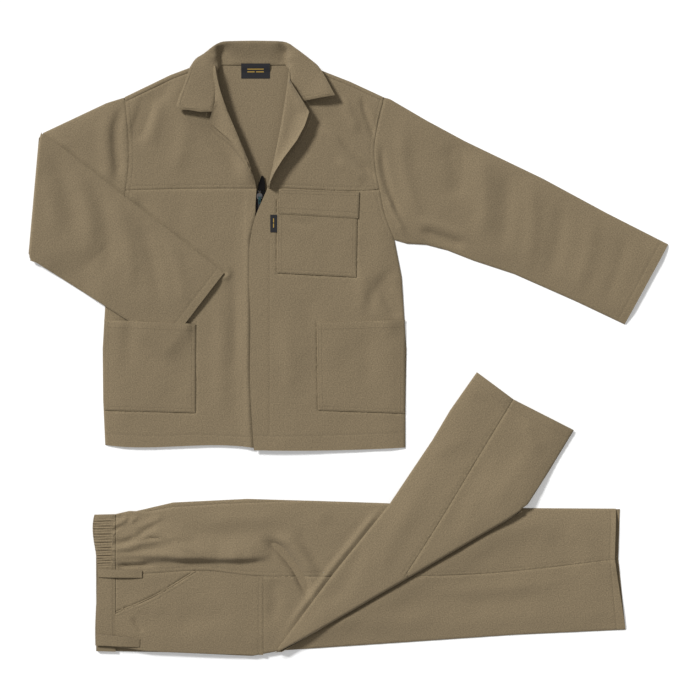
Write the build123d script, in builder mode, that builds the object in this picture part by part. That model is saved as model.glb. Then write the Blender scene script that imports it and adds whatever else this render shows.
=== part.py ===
from build123d import *
import math
import os

# Two-piece work suit, laid out flat: the jacket front side up with its right sleeve folded
# across it, and below it the trousers on their right side with the left leg folded back.
# Millimetres. X runs across the jacket, Y up it, Z away from the surface that it lies on.
# Left and right are the wearer's.

# ---- driving dimensions ------------------------------------------------------------------
CLOTH = 1.0            # stand-in thickness of one layer of cloth
HOLLOW = 4.4           # room between the two layers of a sleeve, leg or body
SLIP = 0.3             # room between pieces that move past each other
ZIP_ROOM = 1.6         # room for the zip slider between the overlapping fronts
STACK = 2 * CLOTH + HOLLOW          # height of one flattened tube of cloth

# Heights of the jacket's layers
RIGHT_FRONT_Z = CLOTH + HOLLOW
LEFT_FRONT_Z = RIGHT_FRONT_Z + CLOTH + ZIP_ROOM
RIGHT_TOP_Z = RIGHT_FRONT_Z + CLOTH
LEFT_TOP_Z = LEFT_FRONT_Z + CLOTH
FOREARM_Z = RIGHT_TOP_Z + SLIP      # underside of the folded right forearm
POCKET_MOUTH_Z = FOREARM_Z + STACK + SLIP
FLAP_Z = POCKET_MOUTH_Z + CLOTH + SLIP
LABEL_THICKNESS = 0.4

# Heights of the trousers' layers
LEFT_LEG_Z = STACK + SLIP
LEFT_HIP_TOP_Z = LEFT_LEG_Z + STACK
FOLDED_LEG_Z = LEFT_HIP_TOP_Z + SLIP
LOOP_LIFT = 1.2                     # thickness of a belt loop
BELT_GAP = 5.5                      # room for a belt under an upper loop
POCKET_RECESS = 0.5                 # the lower pocket panel lies within the cloth above it

# Jacket zip
ZIP_X = -176.0
ZIP_TOP_Y = 308.0
ZIP_BOTTOM_Y = -186.0
ZIP_MID_Z = 4.8
TAPE_THICKNESS = 0.6
TAPE_WIDTH = 20.0
TOOTH_PITCH = 4.0
TOOTH_HEIGHT = 1.6
TOOTH_REACH = 2.2
TOOTH_WIDTH = 1.7
SPINE_WIDTH = 1.6
SLIDER_WIDTH = 11.0
SLIDER_LENGTH = 13.0
SLIDER_PLATE = 0.8
SLIDER_Y = 297.0
PULL_WIDTH = 4.4
PULL_LENGTH = 13.5
PULL_THICKNESS = 0.8
PULL_CORNER = 1.5
PULL_HOLE_LENGTH = 5.0
PULL_HOLE_WIDTH = 2.0
PULL_HOLE_FROM_END = 4.5
PIVOT_RADIUS = 0.4
PIVOT_ROOM = 0.06                   # between a pull's pivot and the lugs that hold it
PIVOT_BELOW_MIDDLE = 1.0            # the pivot sits this far below the slider's middle
LUG_THICKNESS = 0.9
LUG_LENGTH = 2.4
CHAIN_END = 8.0                     # tape left bare of teeth at either end
STOP_X = 1.6                        # from the chain's middle line to the middle of a stop
STOP_HALF_WIDTH = 1.0
STOP_LENGTH = 3.0
STOP_HALF_HEIGHT = 1.2
PIN_LENGTH = 7.0
PIN_HALF_HEIGHT = 0.9
BOX_HALF_HEIGHT = 1.5

# Fly zip and waist button
FLY_START_X = -450.0
FLY_END_X = -282.0
FLY_SEAM_Y = -500.0
FLY_CHAIN_Y = -488.0
FLY_TAPE_WIDTH = 24.0
FLY_CHAIN_WIDTH = 4.0
FLY_SLIDER_LENGTH = 11.0
FLY_PULL_LENGTH = 18.0
FLY_PLATE = 1.1                     # how far the fly slider stands past each tape
FLY_PIVOT_X = -3.0                  # from the fly slider's middle to its pull's pivot
FLY_PIVOT_OUT = 0.7                 # from the slider's face to the pivot
BUTTON_CENTRE = (-476, -512)
BUTTON_RADIUS = 8.5
BUTTON_THICKNESS = 2.5
BUTTON_SHANK = 1.0                  # thread between the button and the band

# ---- shared edges: a tuple of points is straight from point to point, a list is a curve ---
RIGHT_ARMHOLE_UPPER = [(-439, 491), (-432, 420), (-431, 360), (-437, 309)]
RIGHT_ARMHOLE_LOWER = [(-437, 309), (-445, 255), (-458, 211)]
LEFT_ARMHOLE_UPPER = [(67, 490), (48, 400), (50, 350), (58, 310)]
LEFT_ARMHOLE_LOWER = [(58, 310), (68, 262), (87, 212)]
RIGHT_YOKE_SEAM = [(-437, 309), (-300, 312), (-182, 312)]
LEFT_YOKE_SEAM = [(58, 310), (0, 307), (-160, 314)]
RIGHT_SIDE = ((-458, 211), (-474, 140), (-482, 0), (-481, -100), (-477, -187))
LEFT_SIDE = ((108, -192), (108, -125), (110, 0), (101, 140), (87, 212))
RIGHT_HEM = [(-477, -187), (-370, -191), (-300, -188), (-184, -193)]
LEFT_HEM = [(-187, -197), (-100, -198), (108, -192)]
RIGHT_ROLL = [(-262, 556), (-237, 460), (-203, 380), (-182, 312)]
LEFT_ROLL = [(-117, 556), (-130, 460), (-144, 385), (-160, 314)]
RIGHT_SHOULDER = ((-262, 556), (-310, 549), (-350, 534), (-439, 491))
LEFT_SHOULDER = ((67, 490), (0, 521), (-57, 543), (-117, 556))
PLACKET_EDGE = [(-182, 264), (-194, 215), (-194, 60), (-195, -40), (-191, -140), (-187, -197)]

RIGHT_FOLD = ((-598, 421), (-620, 174))
RIGHT_SLEEVE_TOP = ((-439, 491), (-475, 479), (-598, 421))
RIGHT_SLEEVE_UNDER = ((-620, 174), (-555, 195), (-507, 205), (-458, 211))
RIGHT_CUFF = ((-354, 6), (-245, 148))
LEFT_FOLD = ((241, 172), (224, 405))
LEFT_SLEEVE_TOP = ((224, 405), (148, 446), (78, 487), (67, 490))
LEFT_SLEEVE_UNDER = ((87, 212), (111, 205), (148, 203), (190, 192), (241, 172))
LEFT_CUFF = ((535, 48), (620, 204))

WAIST_X = -456
CROTCH = (-148, -442)
CREASE_LOW = (-146, -589)
CREASE_HIGH = (333, -309)
CREASE_SLOPE = (CREASE_HIGH[1] - CREASE_LOW[1]) / (CREASE_HIGH[0] - CREASE_LOW[0])
SEAM_END_X = 106
CREASE_MID = (SEAM_END_X, CREASE_LOW[1] + (SEAM_END_X - CREASE_LOW[0]) * CREASE_SLOPE)
SIDE_SEAM = [(WAIST_X, -440), (-370, -435), (-281, -431), (-184, -441), (-45, -442), CREASE_MID]
LEFT_HIP_BACK = (CREASE_HIGH, (76, -302), (-100, -296), (-240, -301), (-345, -308),
                 (-390, -316), (-430, -315), (WAIST_X, -321))
LEFT_HIP_FRONT = ((WAIST_X, -579), (-395, -588), (-280, -593), (-190, -597), CREASE_LOW)
RIGHT_LEG_BACK = ((526, -311), (340, -310), (0, -298), (-200, -292), (-345, -299), (WAIST_X, -325))
RIGHT_LEG_FRONT = ((WAIST_X, -589), (-300, -592), (-190, -596), (-140, -588), (100, -572),
                   (320, -557), (537, -547))
POCKET_SLANT = [(WAIST_X, -512), (-380, -479), (-300, -431)]
POCKET_HEM_X = -169
FRONT_CUT = ((WAIST_X - 60, FLY_SEAM_Y), (-300, -497), (-210, -470), CROTCH, (-200, -428),
             (WAIST_X - 60, -425))
BACK_CUT = ((WAIST_X - 60, -400), (-300, -380), (-200, -390), (-160, -415), CROTCH,
            (-200, -455), (WAIST_X - 60, -455))

os.makedirs("parts", exist_ok=True)


def save(piece, label):
    """Name a finished piece and write it to its own file."""
    piece.part.label = label
    export_step(piece.part, f"parts/{label}.step")


def backwards(run):
    """The same run drawn from its other end."""
    return type(run)(reversed(run))


def beside(edge, distance):
    """The points of an edge moved to its left by a distance."""
    moved = []
    for number, (x, y) in enumerate(edge):
        before = edge[max(number - 1, 0)]
        after = edge[min(number + 1, len(edge) - 1)]
        run = math.dist(before, after)
        moved.append((x - (after[1] - before[1]) / run * distance,
                      y + (after[0] - before[0]) / run * distance))
    return moved


# the edges of the pieces beyond each fold start a little way off its line, to turn freely
RIGHT_ELBOW = tuple(beside(backwards(RIGHT_FOLD), -SLIP))
LEFT_ELBOW = tuple(beside(LEFT_FOLD, -SLIP))
LEFT_FOREARM_UNDER = (LEFT_ELBOW[0], (320, 146), (440, 93), (535, 48))
LEFT_FOREARM_TOP = ((620, 204), (500, 265), (376, 332), LEFT_ELBOW[1])
CREASE = tuple(beside((CREASE_LOW, CREASE_MID, CREASE_HIGH), SLIP))
FOLDED_BACK = ((436, -158), (386, -240), (346, -301), CREASE[2])
FOLDED_FRONT = (CREASE[0], (-29, -432), (76, -302), (160, -178), (195, -119), (247, -45))
FOLDED_SEAM = [CREASE[1], (177, -330), (244, -220), (318, -98)]


def trace(runs):
    """Draw an outline from its runs, each starting where the one before it ends."""
    for run in runs:
        if isinstance(run, list):
            Spline(*run)
        else:
            Polyline(*run)


def cloth(label, runs, levels, walls=(), wall_low=None, cut=None, cut_level=None, recess=None):
    """One piece of cloth.

    Its outline is a layer at each level. A wall joins the layers along each folded edge,
    which runs with the cloth on its left. A cut takes an area out of one layer, and a
    recess takes half of the lowest layer's thickness away under a pocket.
    """
    low = levels[0] if wall_low is None else wall_low
    with BuildPart() as piece:
        for level in levels:
            with BuildSketch(Plane.XY.offset(level)):
                with BuildLine():
                    trace(runs)
                make_face()
            extrude(amount=CLOTH)
        if cut:
            with BuildSketch(Plane.XY.offset(cut_level)):
                with BuildLine():
                    Polyline(*cut, close=True)
                make_face()
            extrude(amount=CLOTH, mode=Mode.SUBTRACT)
        if recess:
            with BuildSketch(Plane.XY.offset(low)):
                with BuildLine():
                    trace(recess)
                make_face()
            extrude(amount=POCKET_RECESS, mode=Mode.SUBTRACT)
        for edge in walls:
            with BuildSketch(Plane.XY.offset(low)):
                with BuildLine():
                    Polyline(*edge, *reversed(beside(edge, CLOTH)), close=True)
                make_face()
            extrude(amount=levels[-1] + CLOTH - low)
        # trim the walls' ends to the outline
        with BuildSketch(Plane.XY.offset(low)):
            with BuildLine():
                trace(runs)
            make_face()
        extrude(amount=levels[-1] + CLOTH - low, mode=Mode.INTERSECT)
    save(piece, label)


def flat(label, runs, level, thickness=CLOTH):
    """A flat piece of any thickness."""
    with BuildPart() as piece:
        with BuildSketch(Plane.XY.offset(level)):
            with BuildLine():
                trace(runs)
            make_face()
        extrude(amount=thickness)
    save(piece, label)


def draped(label, outline, profile):
    """A piece of cloth whose height changes along Y: profile gives (y, underside) pairs."""
    upper = [(y, z + CLOTH) for y, z in reversed(profile)]
    left = min(x for x, y in outline)
    right = max(x for x, y in outline)
    with BuildPart() as piece:
        with BuildSketch(Plane.YZ.offset(left)):
            with BuildLine():
                Polyline(*profile, *upper, close=True)
            make_face()
        extrude(amount=right - left)
        with BuildSketch(Plane.XY):
            with BuildLine():
                Polyline(*outline, close=True)
            make_face()
        extrude(amount=2 * FLAP_Z, mode=Mode.INTERSECT)
    save(piece, label)


def blocks(label, *corners):
    """A piece made of plain blocks, each given by its lowest and highest corner."""
    with BuildPart() as piece:
        for low, high in corners:
            with Locations([tuple((a + b) / 2 for a, b in zip(low, high))]):
                Box(*(b - a for a, b in zip(low, high)))
    save(piece, label)


# ---- jacket body -------------------------------------------------------------------------
cloth("back_yoke",
      [LEFT_SHOULDER, ((-117, 556), (-262, 556)), RIGHT_SHOULDER, RIGHT_ARMHOLE_UPPER,
       ((-437, 309), (58, 310)), backwards(LEFT_ARMHOLE_UPPER)],
      [0])
cloth("back_panel",
      [((-437, 309), (58, 310)), LEFT_ARMHOLE_LOWER, backwards(LEFT_SIDE), backwards(LEFT_HEM),
       ((-187, -197), (-184, -193)), backwards(RIGHT_HEM), backwards(RIGHT_SIDE),
       backwards(RIGHT_ARMHOLE_LOWER)],
      [0])
cloth("right_front_yoke",
      [RIGHT_SHOULDER, RIGHT_ARMHOLE_UPPER, RIGHT_YOKE_SEAM, backwards(RIGHT_ROLL)],
      [RIGHT_FRONT_Z], walls=[RIGHT_SHOULDER], wall_low=CLOTH)
cloth("left_front_yoke",
      [LEFT_SHOULDER, LEFT_ROLL, backwards(LEFT_YOKE_SEAM), backwards(LEFT_ARMHOLE_UPPER)],
      [LEFT_FRONT_Z], walls=[LEFT_SHOULDER], wall_low=CLOTH)
cloth("right_front",
      [backwards(RIGHT_YOKE_SEAM), RIGHT_ARMHOLE_LOWER, RIGHT_SIDE, RIGHT_HEM,
       ((-184, -193), (-184, 280), (-182, 312))],
      [RIGHT_FRONT_Z], walls=[RIGHT_SIDE], wall_low=CLOTH)
cloth("left_front",
      [LEFT_YOKE_SEAM, ((-160, 314), (-182, 264)), PLACKET_EDGE, LEFT_HEM, LEFT_SIDE,
       backwards(LEFT_ARMHOLE_LOWER)],
      [LEFT_FRONT_Z], walls=[LEFT_SIDE], wall_low=CLOTH)

# Lapels: the front facings turned back over the yokes
cloth("right_lapel",
      [RIGHT_ROLL, ((-182, 312), (-199, 360), (-232, 404), (-273, 441), (-262, 480), (-262, 556))],
      [RIGHT_TOP_Z])
cloth("left_lapel",
      [LEFT_ROLL, ((-160, 314), (-147, 341), (-129, 369), (-103, 404), (-88, 432), (-79, 459),
                   (-93, 482), (-117, 520), (-117, 556))],
      [LEFT_TOP_Z])

# Collar: two layers, each a leaf on either side joined by the band behind the neck
RIGHT_LEAF = ((-262, 588), (-300, 564), (-311, 548), (-337, 469), (-290, 460), (-268, 461),
              (-254, 515), (-262, 560))
LEFT_LEAF = ((-117, 560), (-118, 521), (-93, 481), (-60, 487), (-29, 492), (-57, 543),
             (-75, 561), (-118, 592))
NECK_BAND = ((-262, 560), (-117, 560), (-118, 592), (-140, 597), (-240, 597), (-262, 588))


def collar(label, right_level, left_level):
    """One layer of the collar: its neck band is as high as both leaves, so it joins them."""
    low = min(right_level, left_level)
    with BuildPart() as piece:
        for outline, level, height in (
            (RIGHT_LEAF, right_level, CLOTH),
            (LEFT_LEAF, left_level, CLOTH),
            (NECK_BAND, low, abs(left_level - right_level) + CLOTH),
        ):
            with BuildSketch(Plane.XY.offset(level)):
                with BuildLine():
                    Polyline(*outline, close=True)
                make_face()
            extrude(amount=height)
    save(piece, label)


collar("under_collar", RIGHT_TOP_Z + CLOTH, LEFT_TOP_Z + CLOTH)
collar("top_collar", RIGHT_TOP_Z + 2 * CLOTH + abs(LEFT_TOP_Z - RIGHT_TOP_Z),
       LEFT_TOP_Z + 2 * CLOTH + abs(LEFT_TOP_Z - RIGHT_TOP_Z))
blocks("neck_label", ((-212, 527, CLOTH), (-156, 556, CLOTH + LABEL_THICKNESS)))
blocks("side_tab", ((-156, 227, LEFT_TOP_Z), (-144, 261, LEFT_TOP_Z + LABEL_THICKNESS)))

# Patch pockets: their bottom edge is sewn down, and their mouth stands open
draped("chest_pocket", ((-142, 148), (12, 140), (14, 290), (-141, 290)),
       [(139, LEFT_TOP_Z), (200, POCKET_MOUTH_Z), (291, POCKET_MOUTH_Z)])
draped("chest_flap", ((-138, 263), (16, 254), (18, 306), (-138, 311)),
       [(253, FLAP_Z), (292, FLAP_Z), (312, LEFT_TOP_Z + SLIP)])
draped("right_hip_pocket", ((-479, -119), (-301, -124), (-301, 49), (-479, 57)),
       [(-125, RIGHT_TOP_Z), (0, POCKET_MOUTH_Z), (58, POCKET_MOUTH_Z)])
draped("left_hip_pocket", ((-62, -119), (106, -125), (107, 57), (-64, 51)),
       [(-126, LEFT_TOP_Z), (0, POCKET_MOUTH_Z), (58, POCKET_MOUTH_Z)])

# Sleeves: flattened tubes, each in an upper and a lower length that meet at the fold
cloth("right_upper_sleeve",
      [RIGHT_SLEEVE_TOP, RIGHT_FOLD, RIGHT_SLEEVE_UNDER, backwards(RIGHT_ARMHOLE_LOWER),
       backwards(RIGHT_ARMHOLE_UPPER)],
      [0, RIGHT_FRONT_Z], walls=[RIGHT_SLEEVE_TOP, RIGHT_SLEEVE_UNDER])
cloth("right_lower_sleeve",
      [(RIGHT_ELBOW[0], RIGHT_CUFF[0]), RIGHT_CUFF, (RIGHT_CUFF[1], *backwards(RIGHT_ELBOW))],
      [FOREARM_Z, FOREARM_Z + RIGHT_FRONT_Z],
      walls=[(RIGHT_ELBOW[0], RIGHT_CUFF[0]), (RIGHT_CUFF[1], RIGHT_ELBOW[1])])
cloth("left_upper_sleeve",
      [LEFT_SLEEVE_UNDER, LEFT_FOLD, LEFT_SLEEVE_TOP, LEFT_ARMHOLE_UPPER, LEFT_ARMHOLE_LOWER],
      [0, RIGHT_FRONT_Z], walls=[LEFT_SLEEVE_UNDER, LEFT_SLEEVE_TOP])
cloth("left_lower_sleeve",
      [LEFT_FOREARM_UNDER, LEFT_CUFF, LEFT_FOREARM_TOP, backwards(LEFT_ELBOW)],
      [0, RIGHT_FRONT_Z], walls=[LEFT_FOREARM_UNDER, LEFT_FOREARM_TOP])

# ---- jacket zip --------------------------------------------------------------------------
TAPE_LOW = ZIP_MID_Z - TAPE_THICKNESS / 2
TOOTH_COUNT = int((ZIP_TOP_Y - ZIP_BOTTOM_Y - 2 * CHAIN_END) / TOOTH_PITCH)
CHAIN_MIDDLE_Y = (ZIP_TOP_Y + ZIP_BOTTOM_Y) / 2
for name, side in (("right", -1), ("left", 1)):
    inner = ZIP_X + side * (TOOTH_REACH / 2 + SPINE_WIDTH)
    outer = inner + side * TAPE_WIDTH
    blocks(f"{name}_zip_tape",
           ((min(inner, outer), ZIP_BOTTOM_Y, TAPE_LOW),
            (max(inner, outer), ZIP_TOP_Y, TAPE_LOW + TAPE_THICKNESS)))
    spine_x = ZIP_X + side * (TOOTH_REACH + SPINE_WIDTH) / 2
    with BuildPart() as teeth:
        with BuildSketch(Plane.XY.offset(ZIP_MID_Z - TOOTH_HEIGHT / 2)):
            with Locations((spine_x, CHAIN_MIDDLE_Y)):
                Rectangle(SPINE_WIDTH, TOOTH_COUNT * TOOTH_PITCH)
            with Locations((ZIP_X, CHAIN_MIDDLE_Y + side * TOOTH_PITCH / 4)):
                with GridLocations(0, TOOTH_PITCH, 1, TOOTH_COUNT):
                    Rectangle(TOOTH_REACH, TOOTH_WIDTH)
        extrude(amount=TOOTH_HEIGHT)
    save(teeth, f"{name}_zip_teeth")

TAPE_EDGE = TOOTH_REACH / 2 + SPINE_WIDTH
blocks("zip_top_stops",
       *(((ZIP_X + side * STOP_X - STOP_HALF_WIDTH, ZIP_TOP_Y - STOP_LENGTH,
           ZIP_MID_Z - STOP_HALF_HEIGHT),
          (ZIP_X + side * STOP_X + STOP_HALF_WIDTH, ZIP_TOP_Y,
           ZIP_MID_Z + STOP_HALF_HEIGHT)) for side in (-1, 1)))
blocks("zip_retainer_box",
       ((ZIP_X - TAPE_EDGE, ZIP_BOTTOM_Y, ZIP_MID_Z - BOX_HALF_HEIGHT),
        (ZIP_X + 0.6, ZIP_BOTTOM_Y + PIN_LENGTH, ZIP_MID_Z + BOX_HALF_HEIGHT)))
blocks("zip_pin",
       ((ZIP_X + 0.9, ZIP_BOTTOM_Y, ZIP_MID_Z - PIN_HALF_HEIGHT),
        (ZIP_X + TAPE_EDGE, ZIP_BOTTOM_Y + PIN_LENGTH, ZIP_MID_Z + PIN_HALF_HEIGHT)))

CHAIN_ROOM = TOOTH_HEIGHT / 2 + 0.2
FLANGE_ROOM = TAPE_THICKNESS / 2 + 0.25
CHAIN_HALF = TOOTH_REACH / 2 + SPINE_WIDTH + 0.3
SLIDER_HIGH_Y = SLIDER_Y + SLIDER_LENGTH / 2
PIVOT_Y = SLIDER_Y - PIVOT_BELOW_MIDDLE
PIVOT_Z = ZIP_MID_Z + CHAIN_ROOM + SLIDER_PLATE + PIVOT_RADIUS + 0.2
with BuildPart() as slider:
    with BuildSketch(Plane.XY.offset(ZIP_MID_Z - CHAIN_ROOM - SLIDER_PLATE)):
        with Locations((ZIP_X, SLIDER_Y)):
            SlotOverall(SLIDER_LENGTH, SLIDER_WIDTH, rotation=90)
    extrude(amount=2 * (CHAIN_ROOM + SLIDER_PLATE))
    with Locations((ZIP_X, SLIDER_Y, ZIP_MID_Z)):
        Box(2 * CHAIN_HALF, SLIDER_LENGTH + 1, 2 * CHAIN_ROOM, mode=Mode.SUBTRACT)
        Box(SLIDER_WIDTH + 1, SLIDER_LENGTH + 1, 2 * FLANGE_ROOM, mode=Mode.SUBTRACT)
    # the wedge that parts the two chains, above the last closed tooth
    with Locations((ZIP_X, SLIDER_HIGH_Y - 1.2, ZIP_MID_Z)):
        Box(1.0, 2.2, 2 * (CHAIN_ROOM + SLIDER_PLATE))
    # two lugs that hold the pull's pivot
    for side in (-1, 1):
        with Locations((ZIP_X + side * (PULL_WIDTH / 2 + 0.8), PIVOT_Y, PIVOT_Z - 0.25)):
            Box(LUG_THICKNESS, LUG_LENGTH, 2 * PIVOT_RADIUS + 0.9)
    with Locations(Plane((ZIP_X, PIVOT_Y, PIVOT_Z), z_dir=(1, 0, 0))):
        Cylinder(PIVOT_RADIUS + PIVOT_ROOM, PULL_WIDTH + 4, mode=Mode.SUBTRACT)
save(slider, "zip_slider")

with BuildPart() as pull:
    with Locations(Plane((ZIP_X, PIVOT_Y, PIVOT_Z), z_dir=(1, 0, 0))):
        Cylinder(PIVOT_RADIUS, PULL_WIDTH + 2.4)
    with BuildSketch(Plane.XY.offset(PIVOT_Z - PULL_THICKNESS / 2)):
        with Locations((ZIP_X, PIVOT_Y - PULL_LENGTH / 2)):
            RectangleRounded(PULL_WIDTH, PULL_LENGTH, PULL_CORNER)
        with Locations((ZIP_X, PIVOT_Y - PULL_LENGTH + PULL_HOLE_FROM_END)):
            SlotOverall(PULL_HOLE_LENGTH, PULL_HOLE_WIDTH, rotation=90, mode=Mode.SUBTRACT)
    extrude(amount=PULL_THICKNESS)
save(pull, "zip_pull")

# ---- trousers ----------------------------------------------------------------------------
RIGHT_SEAM = [CROTCH, (0, -443), (106, -442), (253, -438), (400, -424), (523, -409)]
WAIST_TO_CROTCH = ((WAIST_X, -440), CROTCH)
RIGHT_POCKET = [[(WAIST_X, -512), (-380, -479), (-300, -443)],
                ((-300, -443), (POCKET_HEM_X, -443), (POCKET_HEM_X, -587), (-280, -585),
                 (WAIST_X, -580), (WAIST_X, -512))]
cloth("right_front_leg",
      [RIGHT_LEG_FRONT, ((537, -547), (523, -409)), backwards(RIGHT_SEAM),
       backwards(WAIST_TO_CROTCH), ((WAIST_X, -440), (WAIST_X, -589))],
      [0, RIGHT_FRONT_Z], walls=[RIGHT_LEG_FRONT], cut=FRONT_CUT, cut_level=RIGHT_FRONT_Z,
      recess=RIGHT_POCKET)
cloth("right_back_leg",
      [RIGHT_LEG_BACK, ((WAIST_X, -325), (WAIST_X, -440)), WAIST_TO_CROTCH, RIGHT_SEAM,
       ((523, -409), (526, -311))],
      [0, RIGHT_FRONT_Z], walls=[RIGHT_LEG_BACK], cut=BACK_CUT, cut_level=RIGHT_FRONT_Z)
cloth("left_front_hip",
      [LEFT_HIP_FRONT, (CREASE_LOW, CREASE_MID), backwards(SIDE_SEAM),
       ((WAIST_X, -440), (WAIST_X, -579))],
      [LEFT_LEG_Z, LEFT_LEG_Z + RIGHT_FRONT_Z], walls=[LEFT_HIP_FRONT],
      cut=FRONT_CUT, cut_level=LEFT_LEG_Z)
cloth("left_back_hip",
      [SIDE_SEAM, (CREASE_MID, CREASE_HIGH), LEFT_HIP_BACK, ((WAIST_X, -321), (WAIST_X, -440))],
      [LEFT_LEG_Z, LEFT_LEG_Z + RIGHT_FRONT_Z], walls=[LEFT_HIP_BACK],
      cut=BACK_CUT, cut_level=LEFT_LEG_Z)
cloth("left_front_leg",
      [FOLDED_FRONT, ((247, -45), (318, -98)), backwards(FOLDED_SEAM), (CREASE[1], CREASE[0])],
      [FOLDED_LEG_Z, FOLDED_LEG_Z + RIGHT_FRONT_Z], walls=[backwards(FOLDED_FRONT)])
cloth("left_back_leg",
      [FOLDED_BACK, (CREASE[2], CREASE[1]), FOLDED_SEAM, ((318, -98), (436, -158))],
      [FOLDED_LEG_Z, FOLDED_LEG_Z + RIGHT_FRONT_Z], walls=[backwards(FOLDED_BACK)])

# Front pockets: a panel laid over the front of each leg, open along its slanted edge
flat("left_pocket_panel",
     [POCKET_SLANT, [(-300, -431), (-281, -431), (-184, -441), (POCKET_HEM_X, -442)],
      ((POCKET_HEM_X, -442), (POCKET_HEM_X, -595), (-280, -592), (-395, -587), (WAIST_X, -578)),
      ((WAIST_X, -578), (WAIST_X, -512))],
     LEFT_HIP_TOP_Z)
flat("right_pocket_panel", RIGHT_POCKET, 0, POCKET_RECESS)

# Waistband, elastic and belt loops
LEFT_BAND_BACK = ((WAIST_X, -321), (-497, -322))
LEFT_BAND_FRONT = ((-495, -574), (WAIST_X, -579))
RIGHT_BAND_BACK = ((WAIST_X, -325), (-495, -325))
RIGHT_BAND_FRONT = ((-494, -588), (WAIST_X, -589))
BAND_CUT = ((-520, -500), (-440, -500), (-440, -400), (-520, -400))
cloth("left_waistband",
      [LEFT_BAND_BACK, [(-497, -322), (-500, -345), (-491, -415), (-492, -480), (-495, -574)],
       LEFT_BAND_FRONT, ((WAIST_X, -579), (WAIST_X, -321))],
      [LEFT_LEG_Z, LEFT_LEG_Z + RIGHT_FRONT_Z], walls=[LEFT_BAND_BACK, LEFT_BAND_FRONT],
      cut=BAND_CUT, cut_level=LEFT_LEG_Z)
cloth("right_waistband",
      [(*RIGHT_BAND_BACK, *RIGHT_BAND_FRONT, RIGHT_BAND_BACK[0])],
      [LOOP_LIFT, RIGHT_FRONT_Z], walls=[RIGHT_BAND_BACK, RIGHT_BAND_FRONT],
      cut=BAND_CUT, cut_level=RIGHT_FRONT_Z)

ELASTIC_THICKNESS = 0.8
blocks("left_waist_elastic",
       ((-486, -428, LEFT_HIP_TOP_Z - CLOTH - ELASTIC_THICKNESS), (-461, -328, LEFT_HIP_TOP_Z - CLOTH)))
blocks("right_waist_elastic",
       ((-486, -428, LOOP_LIFT + CLOTH), (-461, -330, LOOP_LIFT + CLOTH + ELASTIC_THICKNESS)))

# An upper loop is a bridge for the belt, and a lower one is pressed flat under the band
LOOP_WIDTH = 13
LOOP_START_X = -495
LOOP_END_X = -407
LOOP_FOOT = 6
loop_top_z = LEFT_HIP_TOP_Z + BELT_GAP
for name, loop_y, panel in (("left_side_belt_loop", -437, 0), ("left_front_belt_loop", -565, CLOTH)):
    low_y = loop_y - LOOP_WIDTH / 2
    high_y = loop_y + LOOP_WIDTH / 2
    blocks(name,
           ((LOOP_START_X, low_y, loop_top_z), (LOOP_END_X, high_y, loop_top_z + LOOP_LIFT)),
           ((LOOP_START_X + 4, low_y, LEFT_HIP_TOP_Z), (LOOP_START_X + 4 + LOOP_FOOT, high_y, loop_top_z)),
           ((LOOP_END_X - LOOP_FOOT, low_y, LEFT_HIP_TOP_Z + panel), (LOOP_END_X, high_y, loop_top_z)))
for name, loop_y in (("right_side_belt_loop", -437), ("right_front_belt_loop", -565)):
    blocks(name, ((LOOP_START_X + 2, loop_y - LOOP_WIDTH / 2, 0),
                  (WAIST_X - 2, loop_y + LOOP_WIDTH / 2, LOOP_LIFT)))

# Fly zip, folded with its chain upright along the centre front
TAPE_EDGE_Y = FLY_CHAIN_Y - FLY_CHAIN_WIDTH / 2
CHAIN_Z = LEFT_LEG_Z - SLIP / 2
blocks("left_fly_zip_tape",
       ((FLY_START_X, TAPE_EDGE_Y - FLY_TAPE_WIDTH, LEFT_LEG_Z + CLOTH),
        (FLY_END_X, TAPE_EDGE_Y, LEFT_LEG_Z + CLOTH + TAPE_THICKNESS)))
blocks("right_fly_zip_tape",
       ((FLY_START_X, TAPE_EDGE_Y - FLY_TAPE_WIDTH, RIGHT_FRONT_Z - TAPE_THICKNESS),
        (FLY_END_X, TAPE_EDGE_Y, RIGHT_FRONT_Z)))
for name, low, high in (
    ("left_fly_zip_teeth", CHAIN_Z + 0.1, LEFT_LEG_Z + CLOTH + TAPE_THICKNESS),
    ("right_fly_zip_teeth", RIGHT_FRONT_Z - TAPE_THICKNESS, CHAIN_Z - 0.1),
):
    tooth_count = int((FLY_END_X - FLY_START_X) / TOOTH_PITCH)
    with BuildPart() as teeth:
        with BuildSketch(Plane.XY.offset(low)):
            with Locations(((FLY_START_X + FLY_END_X) / 2, FLY_CHAIN_Y - 0.8)):
                Rectangle(FLY_END_X - FLY_START_X, FLY_CHAIN_WIDTH - 1.6)
            with Locations(((FLY_START_X + FLY_END_X) / 2, FLY_CHAIN_Y)):
                with GridLocations(TOOTH_PITCH, 0, tooth_count, 1):
                    Rectangle(TOOTH_WIDTH, FLY_CHAIN_WIDTH)
        extrude(amount=high - low)
    save(teeth, name)

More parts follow.
